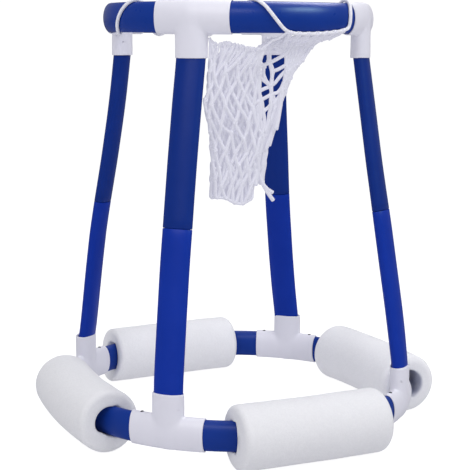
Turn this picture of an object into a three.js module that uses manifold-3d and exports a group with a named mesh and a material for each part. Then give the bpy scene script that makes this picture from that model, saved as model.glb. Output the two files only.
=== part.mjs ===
// Floating pool basketball hoop: a round rim on four leaning legs over a larger base ring,
// foam floats threaded on the base ring, and a knotted net laced to the rim with one cord.
// Millimetres, +Z up. Z = 0 is the surface that the floats lie on; the Z axis is the axis of
// both rings. The legs stand at the directions -Y (leg 0), +X (leg 1), +Y (leg 2), -X (leg 3).
import * as THREE from 'three';
import { mergeVertices } from 'three/addons/utils/BufferGeometryUtils.js';
import Module from 'manifold-3d';

const wasm = await Module();
wasm.setup();

// ---- driving dimensions -------------------------------------------------------------------
const BASE_R = 190;          // base ring, radius of the tube's centre line
const RIM_R = 137.9;         // rim, radius of the tube's centre line
const BASE_Z = 33.5;         // height of the base ring's centre line
const RIM_Z = BASE_Z + 410;  // height of the rim's centre line
const RIM_TURN = 1.0;        // degrees the rim sits turned from the base, from play in the sockets
const TUBE_A = 15.45;        // oval tube, half height (half width along the ring on a leg)
const TUBE_B = 7.8;          // oval tube, half thickness, towards the ring's axis
const TUBE_WALL = 1.6;
const TEE_A = 17.05;         // tee arms outside, half height
const TEE_B = 9.4;           // tee arms outside, half thickness
const FIT = 0.3;             // play between a tube and the socket that holds it
const BASE_ARM = 12;         // degrees from a base tee's middle to its mouth
const BASE_STOP = 6;         // degrees from a base tee's middle to the stop inside the socket
const RIM_ARM = 90 / 11 * 2; // the same on a rim tee
const RIM_STOP = 90 / 11;
const STEM_MOUTH = 40.5;     // stem mouth, distance from the ring's centre line
const STEM_ROOT_A = 17.3, STEM_ROOT_B = 9.7;    // stem outside at the ring
const STEM_MOUTH_A = 16.9, STEM_MOUTH_B = 10.2; // stem outside at the mouth
const LEG_CROSS = 33;        // the leg's axis crosses the stem's axis this far from the ring
const LEG_IN = 25.5;         // the leg's end, distance from the ring's centre line
const JOINT_Z = 202;         // leg joint, above the base ring's centre line
const SPIGOT = 30;           // plug of the lower leg inside the upper one
const SIDES = 16;            // facets round an oval
const BORE_SIDES = 6;
const SCREW_AT = 9.2;        // degrees from a base tee's middle to its screw
const HEAD_R = 1.9, HEAD_H = 1.2, SHANK_R = 1.1, SHANK_L = 7.5, SCREW_HOLE = 1.5;
const FLOAT_BORE = 16.4;
const FLOAT_EDGE = 9;        // rounding of a float's ends
const CORD_R = 2.0;
const CORD_GAP = 0.9;        // cord's skin to the tube it is wound on

// Each float: direction of its middle, distance of its middle from the axis, length, outer
// radius, and how far its ends bend back from a straight line.
const FLOATS = {
  float_front_right: { at: 44.9, rho: 181.4, length: 165, radius: 33.5, sag: 1.5 },
  float_rear_right: { at: 136.2, rho: 184.0, length: 172, radius: 33.5, sag: 5.3 },
  float_rear_left: { at: 227.1, rho: 182.4, length: 162, radius: 33.5, sag: 2.2 },
  float_front_left: { at: 314.6, rho: 183.0, length: 170, radius: 33.5, sag: 5.6 },
};

const rad = (d) => d * Math.PI / 180;
const ring = (r, deg, z = 0) => new THREE.Vector3(r * Math.sin(rad(deg)), -r * Math.cos(rad(deg)), z);

// ---- materials ----------------------------------------------------------------------------
const blueTube = new THREE.MeshStandardMaterial({ color: 0x1b3399, roughness: 0.32, metalness: 0 });
const whiteTee = new THREE.MeshStandardMaterial({ color: 0xd6d5e2, roughness: 0.4, metalness: 0 });
const foam = new THREE.MeshStandardMaterial({ color: 0xe9e9ee, roughness: 0.95, metalness: 0 });
const twine = new THREE.MeshStandardMaterial({ color: 0xf0f0f4, roughness: 0.9, metalness: 0 });
const screwSteel = new THREE.MeshStandardMaterial({ color: 0x3a3a3f, roughness: 0.4, metalness: 0.9 });

// ---- solids -------------------------------------------------------------------------------
function solid(geometry) {
  const g = geometry.clone();
  g.deleteAttribute('normal');
  g.deleteAttribute('uv');
  const m = mergeVertices(g, 1e-4);
  return new wasm.Manifold(new wasm.Mesh({
    numProp: 3,
    vertProperties: new Float32Array(m.attributes.position.array),
    triVerts: new Uint32Array(m.index.array),
  }));
}

function surface(manifold) {
  const m = manifold.getMesh();
  const g = new THREE.BufferGeometry();
  const p = new Float32Array(m.numVert * 3);
  for (let i = 0; i < m.numVert; i++) {
    for (let k = 0; k < 3; k++) p[3 * i + k] = m.vertProperties[i * m.numProp + k];
  }
  g.setAttribute('position', new THREE.BufferAttribute(p, 3));
  g.setIndex(new THREE.BufferAttribute(new Uint32Array(m.triVerts), 1));
  g.computeVertexNormals();
  return g;
}

function ovalPoints(a, b, sides) {
  const pts = [];
  for (let i = 0; i < sides; i++) {
    const t = 2 * Math.PI * i / sides;
    pts.push(new THREE.Vector2(a * Math.cos(t), b * Math.sin(t)));
  }
  return pts;
}

function oval(a, b, sides = SIDES) {
  return new THREE.Shape(ovalPoints(a, b, sides));
}

// Centre line of a ring between two directions, in the plane Z = 0.
class RingArc extends THREE.Curve {
  constructor(r, from, to) { super(); this.r = r; this.from = from; this.to = to; }
  getPoint(t, target = new THREE.Vector3()) {
    return target.copy(ring(this.r, this.from + (this.to - this.from) * t));
  }
}

// Along a curve in the plane Z = 0 the section's x is upright and its y lies in the plane.
function sweep(shape, path, steps) {
  return new THREE.ExtrudeGeometry(shape, { steps, bevelEnabled: false, curveSegments: 1, extrudePath: path });
}

// A straight prism of the section from p to q; the section's x lies along `across`.
function prism(shape, p, q, across) {
  const z = q.clone().sub(p);
  const length = z.length();
  z.normalize();
  const x = across.clone().addScaledVector(z, -across.dot(z)).normalize();
  const y = new THREE.Vector3().crossVectors(z, x);
  const g = new THREE.ExtrudeGeometry(shape, { depth: length, steps: 1, bevelEnabled: false, curveSegments: 1 });
  g.applyMatrix4(new THREE.Matrix4().makeBasis(x, y, z).setPosition(p));
  return g;
}

function screwHole(r, deg) {
  const g = new THREE.CylinderGeometry(SCREW_HOLE, SCREW_HOLE, 14, 6);
  g.rotateX(Math.PI / 2);
  const p = ring(r, deg, TEE_A - 3);
  g.translate(p.x, p.y, p.z);
  return solid(g);
}

// ---- ring tubes: hollow, cut square, open at both ends ------------------------------------
function ringTube(r, stop, steps, holes) {
  const shape = oval(TUBE_A, TUBE_B);
  shape.holes.push(new THREE.Path(ovalPoints(TUBE_A - TUBE_WALL, TUBE_B - TUBE_WALL, BORE_SIDES).reverse()));
  const play = 0.25; // degrees that the tube's end stands off the stop
  const g = sweep(shape, new RingArc(r, stop + play, 90 - stop - play), steps);
  if (!holes.length) return g;
  let m = solid(g);
  for (const deg of holes) m = m.subtract(screwHole(r, deg));
  return surface(m);
}

// ---- legs ---------------------------------------------------------------------------------
// Leg 0's axis, seen from the base ring: from the base tee's stem to the rim tee's stem.
const legLow = ring(BASE_R, 0, LEG_CROSS);
const legHigh = ring(RIM_R, RIM_TURN, 410 - LEG_CROSS);
const legAcross = ring(1, 90 + RIM_TURN / 2);
function legPoint(z) {
  const t = (z - legLow.z) / (legHigh.z - legLow.z);
  return legLow.clone().lerp(legHigh, t);
}

function legUpper() {
  const shape = oval(TUBE_A, TUBE_B);
  shape.holes.push(new THREE.Path(ovalPoints(TUBE_A - TUBE_WALL, TUBE_B - TUBE_WALL, SIDES).reverse()));
  return prism(shape, legPoint(JOINT_Z + 0.35), legPoint(410 - LEG_IN), legAcross);
}

function legLower() {
  const inner = TUBE_A - TUBE_WALL, innerB = TUBE_B - TUBE_WALL;
  const body = solid(prism(oval(TUBE_A, TUBE_B), legPoint(LEG_IN), legPoint(JOINT_Z), legAcross));
  const plug = solid(prism(oval(inner - FIT, innerB - FIT), legPoint(JOINT_Z - 8), legPoint(JOINT_Z + SPIGOT), legAcross));
  const bore = solid(prism(oval(inner, innerB, BORE_SIDES), legPoint(LEG_IN - 5), legPoint(JOINT_Z - 6), legAcross));
  const plugBore = solid(prism(oval(inner - FIT - TUBE_WALL, innerB - FIT - TUBE_WALL, BORE_SIDES),
    legPoint(JOINT_Z - 8), legPoint(JOINT_Z + SPIGOT + 5), legAcross));
  return surface(body.add(plug).subtract(bore).subtract(plugBore));
}

// ---- tees: two curved arms along the ring and one stem for the leg ------------------------
// Built for leg 0 with the ring's centre line in the plane Z = 0; up = 1 for a base tee, -1 for
// a rim tee, whose stem hangs.
function tee(r, arm, stop, up, holes) {
  let m = solid(sweep(oval(TEE_A, TEE_B), new RingArc(r, -arm, arm), 4));
  const stem = new THREE.CylinderGeometry(1, 1, STEM_MOUTH, SIDES, 1);
  stem.rotateX(up * Math.PI / 2);
  const p = stem.attributes.position;
  for (let i = 0; i < p.count; i++) {
    const z = p.getZ(i) + up * STEM_MOUTH / 2;
    const t = Math.abs(z) / STEM_MOUTH;
    p.setXYZ(i,
      p.getX(i) * THREE.MathUtils.lerp(STEM_ROOT_A, STEM_MOUTH_A, t),
      p.getY(i) * THREE.MathUtils.lerp(STEM_ROOT_B, STEM_MOUTH_B, t) - r,
      z);
  }
  m = m.add(solid(stem));
  // sockets for the two ring tubes, and the passage that joins them
  for (const side of [-1, 1]) {
    const from = ring(r, side * stop), mouth = ring(r, side * arm);
    const out = mouth.clone().sub(from).normalize();
    const path = new THREE.LineCurve3(from, mouth.clone().addScaledVector(out, 3));
    m = m.subtract(solid(sweep(oval(TUBE_A + FIT, TUBE_B + FIT), path, 1)));
  }
  const inner = TUBE_A - TUBE_WALL, innerB = TUBE_B - TUBE_WALL;
  m = m.subtract(solid(sweep(oval(inner, innerB, BORE_SIDES), new RingArc(r, -stop - 0.6, stop + 0.6), 2)));
  // the leg's socket follows the leaning leg; a smaller upright passage goes on to the arms
  const inFrame = (z) => {
    const q = legPoint(up > 0 ? z : 410 - z);
    if (up < 0) { q.applyAxisAngle(new THREE.Vector3(0, 0, 1), -rad(RIM_TURN)); q.z -= 410; }
    return q;
  };
  const across = up < 0 ? ring(1, 90 - RIM_TURN / 2) : legAcross;
  m = m.subtract(solid(prism(oval(TUBE_A + FIT, TUBE_B + FIT), inFrame(LEG_IN - 0.4), inFrame(STEM_MOUTH + 4), across)));
  const axis = (z) => ring(r, 0, up * z);
  m = m.subtract(solid(prism(oval(inner - 1, innerB - 0.4, BORE_SIDES), axis(2), axis(LEG_IN + 3), ring(1, 90))));
  for (const deg of holes) m = m.subtract(screwHole(r, deg));
  return surface(m);
}

// ---- screws: pan head, through the tee's wall and the tube's wall -------------------------
function screw() {
  const top = 0.25; // underside of the head above the tee's crown
  const g = new THREE.LatheGeometry([
    new THREE.Vector2(0, top + HEAD_H),
    new THREE.Vector2(HEAD_R * 0.6, top + HEAD_H * 0.85),
    new THREE.Vector2(HEAD_R, top + HEAD_H * 0.3),
    new THREE.Vector2(HEAD_R, top),
    new THREE.Vector2(SHANK_R, top),
    new THREE.Vector2(SHANK_R, top - SHANK_L + 1.5),
    new THREE.Vector2(0, top - SHANK_L),
  ].reverse(), 6);
  g.rotateX(Math.PI / 2);
  return g;
}

// ---- floats: foam tubes with a round bore, threaded on the oval base tubes ----------------
// The bore gives where the curved tube presses on it, so it is the round hole joined with the
// tube's own outline.
function boreReach(angle, offset) {
  const a = TUBE_B + 1.9, b = TUBE_A + 1.3;
  const c = Math.cos(angle), s = Math.sin(angle);
  const A = c * c / (a * a) + s * s / (b * b);
  const B = -2 * offset * c / (a * a);
  const C = offset * offset / (a * a) - 1;
  const D = B * B - 4 * A * C;
  const hit = D > 0 ? (-B + Math.sqrt(D)) / (2 * A) : 0;
  return Math.max(FLOAT_BORE, hit);
}

function floatTube({ at, rho, length, radius, sag }) {
  const n = 18, facet = Math.cos(Math.PI / n), half = length / 2;
  const profile = [];
  const edge = [[0, 1], [0.293, 0.293], [1, 0]];
  for (const [r, s] of edge) profile.push(new THREE.Vector2(radius - FLOAT_EDGE * r, -half + FLOAT_EDGE * s));
  profile.reverse();
  for (const s of [-0.45, 0, 0.45]) profile.push(new THREE.Vector2(radius, half * s));
  for (const [r, s] of edge) profile.push(new THREE.Vector2(radius - FLOAT_EDGE * r, half - FLOAT_EDGE * s));
  for (const s of [1, 0.67, 0.33, 0, -0.33, -0.67, -1]) profile.push(new THREE.Vector2(FLOAT_BORE, half * s));
  profile.push(profile[0].clone());
  profile.reverse();
  const g = new THREE.LatheGeometry(profile, n, Math.PI / n);
  const out = ring(1, at), along = ring(1, at + 90), up = new THREE.Vector3(0, 0, 1);
  const p = g.attributes.position, v = new THREE.Vector3();
  for (let i = 0; i < p.count; i++) {
    v.fromBufferAttribute(p, i);
    const s = v.y, w = s / half;
    const centre = out.clone().multiplyScalar(rho - sag * w * w).addScaledVector(along, s);
    const normal = out.clone().addScaledVector(along, 2 * sag * w / half).normalize();
    const angle = Math.atan2(-v.z, v.x);
    let reach = Math.hypot(v.x, v.z);
    if (reach < FLOAT_BORE + 0.01) {
      const tube = BASE_R - centre.length();
      reach = boreReach(angle, tube);
    }
    reach /= facet;
    v.copy(centre).addScaledVector(normal, reach * Math.cos(angle)).addScaledVector(up, reach * Math.sin(angle));
    p.setXYZ(i, v.x, v.y, v.z);
  }
  return g;
}

// ---- lacing cord --------------------------------------------------------------------------
// One cord round the whole rim. Each station is a direction round the rim and an angle round
// the tube's section: 0 outside, 90 on top, 180 inside, 270 underneath. It winds over the
// tubes, passes inside each tee, and runs under the rim where the net's loops are threaded.
const CORD = [
  [211.9, 262], [213.5, 270], [216, 320], [218.5, 360], [221.5, 405], [224, 450], [227, 500], [230, 540], [236, 545],
  [239, 590], [241, 630], [243.5, 680], [245.5, 720], [247.5, 765], [249, 810], [250.5, 860], [252, 900],
  [289, 905], [309, 905], [315, 925], [319.2, 985], [321, 1015], [324, 1080], [327, 1125], [329, 1170], [331.5, 1215], [335, 1252],
  [343, 1262], [377, 1262], [381, 1250], [386.4, 1170], [389, 1125], [391.5, 1080], [394, 1040], [397.5, 982],
  [402, 982], [426, 984], [428.9, 998], [429.6, 1035], [430, 1080], [430.5, 1125], [431, 1170], [431.8, 1215], [433, 1252],
  [436, 1262], [466, 1262], [472, 1290], [476, 1350], [478.5, 1400], [481, 1440], [483.5, 1485], [486, 1530], [488.5, 1580],
  [491, 1620], [503, 1630], [508, 1710], [510.5, 1760], [512.5, 1800], [514.5, 1845], [517, 1890], [519, 1935], [521.5, 1980],
  [524, 1985], [556, 1985], [562, 1995], [566, 2040], [568, 2068], [570.1, 2062],
];
const TAIL = 24; // each end of the cord hangs this far under the rim

function cordOn(phi, psi) {
  // nearest tee, and how far the cord has to stand off for it
  const near = Math.abs(((phi % 90) + 135) % 90 - 45);
  const onTee = 1 - THREE.MathUtils.smoothstep(near, RIM_ARM + 1.2, RIM_ARM + 3.6);
  const a = THREE.MathUtils.lerp(TUBE_A, TEE_A, onTee), b = THREE.MathUtils.lerp(TUBE_B, TEE_B, onTee);
  const t = rad(psi), x = b * Math.cos(t), z = a * Math.sin(t);
  const nx = Math.cos(t) / b, nz = Math.sin(t) / a, n = Math.hypot(nx, nz);
  const off = CORD_R + CORD_GAP;
  return ring(RIM_R + x + off * nx / n, phi, z + off * nz / n);
}

class CordPath extends THREE.Curve {
  constructor() {
    super();
    const pts = [];
    for (let i = 0; i + 1 < CORD.length; i++) {
      const [p0, s0] = CORD[i], [p1, s1] = CORD[i + 1];
      const parts = Math.max(1, Math.ceil(Math.max(Math.abs(s1 - s0) / 36, (p1 - p0) / 7)));
      for (let k = 0; k < parts; k++) pts.push(cordOn(p0 + (p1 - p0) * k / parts, s0 + (s1 - s0) * k / parts));
    }
    pts.push(cordOn(...CORD[CORD.length - 1]));
    const first = pts[0], last = pts[pts.length - 1];
    const drop = (p, d, f) => new THREE.Vector3(p.x * f, p.y * f, p.z - d);
    pts.unshift(drop(first, TAIL, 0.985), drop(first, TAIL * 0.6, 0.99), drop(first, TAIL * 0.25, 0.995));
    pts.push(drop(last, TAIL * 0.25, 0.995), drop(last, TAIL * 0.6, 0.99), drop(last, TAIL, 0.985));
    this.stations = pts;
    this.line = new THREE.CatmullRomCurve3(pts, false, 'catmullrom', 0.5);
  }
  // even steps between stations, so the steps are short where the cord turns round the tube
  getUtoTmapping(u) { return u; }
  getPoint(t, target) { return this.line.getPoint(t, target); }
}

function lacingCord() {
  const path = new CordPath();
  const shape = new THREE.Shape(ovalPoints(CORD_R, CORD_R, 6));
  return sweep(shape, path, path.stations.length - 1);
}

// ---- net ----------------------------------------------------------------------------------
// The net hangs bunched under the front right of the rim. Its solid is the shell that the mesh
// fills, open at the top and at the bottom. It is built in a frame on its line of hang: x along
// the line, y towards the hoop's axis, z up.
const NET_FROM = ring(128, 8 + RIM_TURN), NET_TO = ring(131, 69 + RIM_TURN);
const NET_LINE_Z = RIM_Z - TUBE_A - 2 * CORD_R - 1.6;
// [height above the base ring's centre line, x of the left edge, x of the right edge, y of the middle, half depth]
const NET = [
  [381.5, -2, 108, -1, 16],
  [370, -5, 96, -1, 17],
  [356, -7, 84, -1, 19],
  [334, -7, 75, 0, 21],
  [300, -4, 66, 0, 22],
  [267, -3, 59, 1, 21],
  [236, -1, 52, 1, 19],
  [224, 3, 42, 1, 17],
];
const NET_WALL = 5;

function netShell() {
  const top = NET[0][0], bottom = NET[NET.length - 1][0], n = 14;
  const loft = (thin, over) => {
    const g = new THREE.CylinderGeometry(1, 1, 1, n, NET.length - 1);
    g.rotateX(Math.PI / 2);
    const p = g.attributes.position;
    for (let i = 0; i < p.count; i++) {
      const row = Math.round((0.5 - p.getZ(i)) * (NET.length - 1));
      const [h, x0, x1, y, b] = NET[row];
      let z = h;
      if (over && row === 0) z += over;
      if (over && row === NET.length - 1) z -= over;
      p.setXYZ(i, (x0 + x1) / 2 + p.getX(i) * ((x1 - x0) / 2 - thin), y + p.getY(i) * (b - thin), z + BASE_Z - NET_LINE_Z);
    }
    return solid(g);
  };
  return surface(loft(0, 0).subtract(loft(NET_WALL, 1)));
}

// ---- assembly -----------------------------------------------------------------------------
const hoop = new THREE.Group();
const base = new THREE.Group();
base.position.z = BASE_Z;
const rim = new THREE.Group();
rim.position.z = RIM_Z;
rim.rotation.z = rad(RIM_TURN);
hoop.add(base, rim);

function place(parent, name, geometry, material, turn = 0) {
  const mesh = new THREE.Mesh(geometry, material);
  mesh.name = name;
  mesh.rotation.z = rad(turn);
  parent.add(mesh);
  return mesh;
}

const SIDE = ['front', 'right', 'rear', 'left'];
const CORNER = ['front_right', 'rear_right', 'rear_left', 'front_left'];

const upperGeometry = legUpper(), lowerGeometry = legLower();
const baseTubeGeometry = ringTube(BASE_R, BASE_STOP, 12, [SCREW_AT, 90 - SCREW_AT]);
const baseTubeOneGeometry = ringTube(BASE_R, BASE_STOP, 12, [90 - SCREW_AT]);
const rimTubeGeometry = ringTube(RIM_R, RIM_STOP, 9, []);
const baseTeeGeometry = tee(BASE_R, BASE_ARM, BASE_STOP, 1, [-SCREW_AT, SCREW_AT]);
const baseTeeOneGeometry = tee(BASE_R, BASE_ARM, BASE_STOP, 1, [-SCREW_AT]);
const rimTeeGeometry = tee(RIM_R, RIM_ARM, RIM_STOP, -1, []);
const screwGeometry = screw();

for (let k = 0; k < 4; k++) {
  // the front tee's right arm is a plain push fit, where the ring is closed once the floats are on
  const open = k === 0;
  place(base, `base_tube_${CORNER[k]}`, open ? baseTubeOneGeometry : baseTubeGeometry, blueTube, 90 * k);
  place(base, `base_tee_${SIDE[k]}`, open ? baseTeeOneGeometry : baseTeeGeometry, whiteTee, 90 * k);
  place(base, `leg_lower_${SIDE[k]}`, lowerGeometry, blueTube, 90 * k);
  place(base, `leg_upper_${SIDE[k]}`, upperGeometry, blueTube, 90 * k);
  place(rim, `rim_tube_${CORNER[k]}`, rimTubeGeometry, blueTube, 90 * k);
  place(rim, `rim_tee_${SIDE[k]}`, rimTeeGeometry, whiteTee, 90 * k);
  for (const [end, deg] of [['a', -SCREW_AT], ['b', SCREW_AT]]) {
    if (open && end === 'b') continue;
    const s = place(base, `screw_${SIDE[k]}_${end}`, screwGeometry, screwSteel, 90 * k);
    s.position.copy(ring(BASE_R, 90 * k + deg, TEE_A));
  }
}

for (const [name, spec] of Object.entries(FLOATS)) place(base, name, floatTube(spec), foam);

place(rim, 'lacing_cord', lacingCord(), twine);

const net = place(hoop, 'net', netShell(), twine);
net.position.set(NET_FROM.x, NET_FROM.y, NET_LINE_Z);
net.rotation.z = Math.atan2(NET_TO.y - NET_FROM.y, NET_TO.x - NET_FROM.x);

export default hoop;
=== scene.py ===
"""Floating pool basketball hoop: oval tube rim and base ring, leaning two-part legs, moulded tees,
foam floats, a lacing cord and a knotted net. Metres in the scene; the tables below are in
millimetres, +Z up, and Z = 0 is the surface that the floats lie on."""

import math

import bpy
import numpy as np
from mathutils import Matrix, Vector, noise


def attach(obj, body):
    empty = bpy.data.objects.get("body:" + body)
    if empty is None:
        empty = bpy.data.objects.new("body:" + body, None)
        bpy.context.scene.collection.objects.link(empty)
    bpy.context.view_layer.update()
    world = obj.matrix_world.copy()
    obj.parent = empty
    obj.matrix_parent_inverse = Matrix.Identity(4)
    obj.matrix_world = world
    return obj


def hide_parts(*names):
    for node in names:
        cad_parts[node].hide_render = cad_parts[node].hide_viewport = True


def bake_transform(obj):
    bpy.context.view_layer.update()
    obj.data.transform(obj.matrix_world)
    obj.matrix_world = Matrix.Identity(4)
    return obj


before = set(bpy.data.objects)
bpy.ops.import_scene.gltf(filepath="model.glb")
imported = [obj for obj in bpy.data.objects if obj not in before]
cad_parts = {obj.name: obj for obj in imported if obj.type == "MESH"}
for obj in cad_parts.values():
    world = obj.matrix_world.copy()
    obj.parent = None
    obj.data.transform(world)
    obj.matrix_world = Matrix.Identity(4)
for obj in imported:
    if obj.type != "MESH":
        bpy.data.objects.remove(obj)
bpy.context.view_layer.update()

# ---- dimensions ---------------------------------------------------------------------------
BASE_R, RIM_R = 190.0, 137.9
BASE_Z, RIM_Z = 33.5, 443.5
RIM_TURN = 1.0
TUBE_A, TUBE_B, TUBE_WALL = 15.45, 7.8, 1.6
TEE_A, TEE_B = 17.05, 9.4
SWELL = 0.55  # the base tubes and the base tees' arms are this much taller each way
BASE_ARM, BASE_STOP = 12.0, 6.0
RIM_ARM, RIM_STOP = 90 / 11 * 2, 90 / 11
STEM_MOUTH = 40.5
STEM_ROOT, STEM_END = (17.3, 9.7), (16.9, 10.2)
LEG_CROSS, LEG_IN = 33.0, 25.5
JOINT_Z, SPIGOT = 202.0, 30.0
SCREW_AT = 9.2
FLOAT_BORE, FLOAT_EDGE = 16.4, 9.0
FLOATS = {
    "front_right": (44.9, 181.4, 165.0, 33.5, 1.5),
    "rear_right": (136.2, 184.0, 172.0, 33.5, 5.3),
    "rear_left": (227.1, 182.4, 162.0, 32.9, 2.2),
    "front_left": (314.6, 183.0, 170.0, 33.5, 5.6),
}
SIDE = ["front", "right", "rear", "left"]
CORNER = ["front_right", "rear_right", "rear_left", "front_left"]


def rad(d):
    return d * math.pi / 180


def ring(r, deg, z=0.0):
    """Points at radius r and direction deg round the axis; 0 is -Y and 90 is +X."""
    r, deg, z = np.broadcast_arrays(
        np.asarray(r, float), np.asarray(deg, float), np.asarray(z, float)
    )
    return np.stack([r * np.sin(np.radians(deg)), -r * np.cos(np.radians(deg)), z], -1)


def turn(points, deg):
    c, s = math.cos(rad(deg)), math.sin(rad(deg))
    p = np.asarray(points, float)
    return np.stack(
        [c * p[..., 0] - s * p[..., 1], s * p[..., 0] + c * p[..., 1], p[..., 2]], -1
    )


def unit(v):
    return v / np.maximum(np.linalg.norm(v, axis=-1, keepdims=True), 1e-12)


# ---- mesh building ------------------------------------------------------------------------
def add(name, verts, faces, material, body, nodes=(), sharp=38.0):
    """A piece from points in millimetres and a list or array of faces."""
    mesh = bpy.data.meshes.new(name)
    if isinstance(faces, np.ndarray):
        faces = faces.tolist()
    mesh.from_pydata((np.asarray(verts, float) * 0.001).tolist(), [], faces)
    mesh.update()
    mesh.polygons.foreach_set("use_smooth", [True] * len(mesh.polygons))
    if sharp:
        mesh.set_sharp_from_angle(angle=rad(sharp))
    mesh.materials.append(material)
    obj = bpy.data.objects.new(name, mesh)
    bpy.context.scene.collection.objects.link(obj)
    if body:
        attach(obj, body)
    if nodes:
        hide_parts(*nodes)
    return obj


def grid_faces(n, m, start=0, closed=True):
    """Quads between n rings of m points; the last ring joins the first where closed."""
    i = np.arange(n if closed else n - 1)[:, None]
    j = np.arange(m)[None, :]
    i2, j2 = (i + 1) % n, (j + 1) % m
    q = np.stack([i * m + j, i * m + j2, i2 * m + j2, i2 * m + j], -1)
    return q.reshape(-1, 4) + start


def oval(a, b, m):
    t = np.arange(m) * 2 * np.pi / m
    return np.stack([a * np.cos(t), b * np.sin(t)], -1)


def hollow(path, x_axis, y_axis, stations, m=64):
    """A closed hollow tube. stations is a list of (index along the path, a, b); its rings go out
    along the outside and back along the bore, and the last ring joins the first."""
    rings = []
    for i, a, b in stations:
        sec = oval(a, b, m)
        rings.append(path[i] + sec[:, :1] * x_axis[i] + sec[:, 1:] * y_axis[i])
    return np.concatenate(rings), grid_faces(len(stations), m)


def sweep_tube(points, radius, m=10, relief=None, step=None, blunt=0.8):
    """A closed round strand along points, with its ends rounded. radius may be an array.
    relief(angle, length along) gives a share of the radius to add."""
    p = resample(np.asarray(points, float), step) if step else np.asarray(points, float)
    t = unit(np.gradient(p, axis=0))
    n = len(p)
    x = np.zeros_like(p)
    ref = np.array([0.0, 0.0, 1.0]) if abs(t[0, 2]) < 0.9 else np.array([1.0, 0.0, 0.0])
    x[0] = unit(np.cross(np.cross(t[0], ref), t[0]))
    for i in range(1, n):
        v = x[i - 1] - t[i] * np.dot(x[i - 1], t[i])
        x[i] = v / max(np.linalg.norm(v), 1e-9)
    y = np.cross(t, x)
    s = np.concatenate([[0], np.cumsum(np.linalg.norm(np.diff(p, axis=0), axis=1))])
    ang = np.arange(m) * 2 * np.pi / m
    r = np.broadcast_to(np.asarray(radius, float), (n,))[:, None] * np.ones((1, m))
    if relief is not None:
        r = r * (1 + relief(ang[None, :], s[:, None]))
    body = (
        p[:, None, :]
        + (r * np.cos(ang))[..., None] * x[:, None, :]
        + (r * np.sin(ang))[..., None] * y[:, None, :]
    )
    caps = []
    for end, sign in ((0, -1), (n - 1, 1)):
        rr = r[end]
        rows = []
        for k in (0.45, 0.8):
            q = (
                p[end]
                + sign * t[end] * (rr.mean() * math.sin(k * math.pi / 2) * blunt)
                + (rr * math.cos(k * math.pi / 2) * np.cos(ang))[:, None] * x[end]
                + (rr * math.cos(k * math.pi / 2) * np.sin(ang))[:, None] * y[end]
            )
            rows.append(q)
        tip = p[end] + sign * t[end] * rr.mean() * (blunt + 0.02)
        caps.append((rows, tip))
    rows = [*caps[0][0][::-1], *body, *caps[1][0]]
    verts = np.concatenate([*rows, [caps[0][1]], [caps[1][1]]])
    faces = grid_faces(len(rows), m, closed=False).tolist()
    a, b = len(rows) * m, len(rows) * m + 1
    last = (len(rows) - 1) * m
    for j in range(m):
        faces.append([a, (j + 1) % m, j])
        faces.append([b, last + j, last + (j + 1) % m])
    return verts, faces


def resample(p, step):
    """Even points along a smooth line through p."""
    p = np.asarray(p, float)
    ext = np.concatenate([[2 * p[0] - p[1]], p, [2 * p[-1] - p[-2]]])
    k = 6
    u = np.arange(k)[:, None] / k
    out = []
    for i in range(len(p) - 1):
        a, b, c, d = ext[i], ext[i + 1], ext[i + 2], ext[i + 3]
        out.append(
            0.5
            * (
                2 * b
                + (c - a) * u
                + (2 * a - 5 * b + 4 * c - d) * u**2
                + (3 * b - a - 3 * c + d) * u**3
            )
        )
    q = np.concatenate([*out, [p[-1]]])
    s = np.concatenate([[0], np.cumsum(np.linalg.norm(np.diff(q, axis=0), axis=1))])
    n = max(3, int(round(s[-1] / step)) + 1)
    w = np.linspace(0, s[-1], n)
    return np.stack([np.interp(w, s, q[:, i]) for i in range(3)], -1)


def joined(parts):
    """Several (points, faces) as one."""
    verts, faces, at = [], [], 0
    for v, f in parts:
        verts.append(np.asarray(v, float))
        f = f.tolist() if isinstance(f, np.ndarray) else f
        faces.extend([[i + at for i in q] for q in f])
        at += len(v)
    return np.concatenate(verts), faces


# ---- surfaces from a distance field -------------------------------------------------------
def oval_distance(u, v, a, b):
    """About the distance to an ellipse with half sizes a and b."""
    k0 = np.sqrt((u / a) ** 2 + (v / b) ** 2) + 1e-9
    k1 = np.sqrt((u / a**2) ** 2 + (v / b**2) ** 2) + 1e-9
    return k0 * (k0 - 1) / k1


def smooth_min(a, b, k):
    h = np.maximum(k - np.abs(a - b), 0) / k
    return np.minimum(a, b) - h * h * k * 0.25


def smooth_max(a, b, k):
    return -smooth_min(-a, -b, k)


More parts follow.
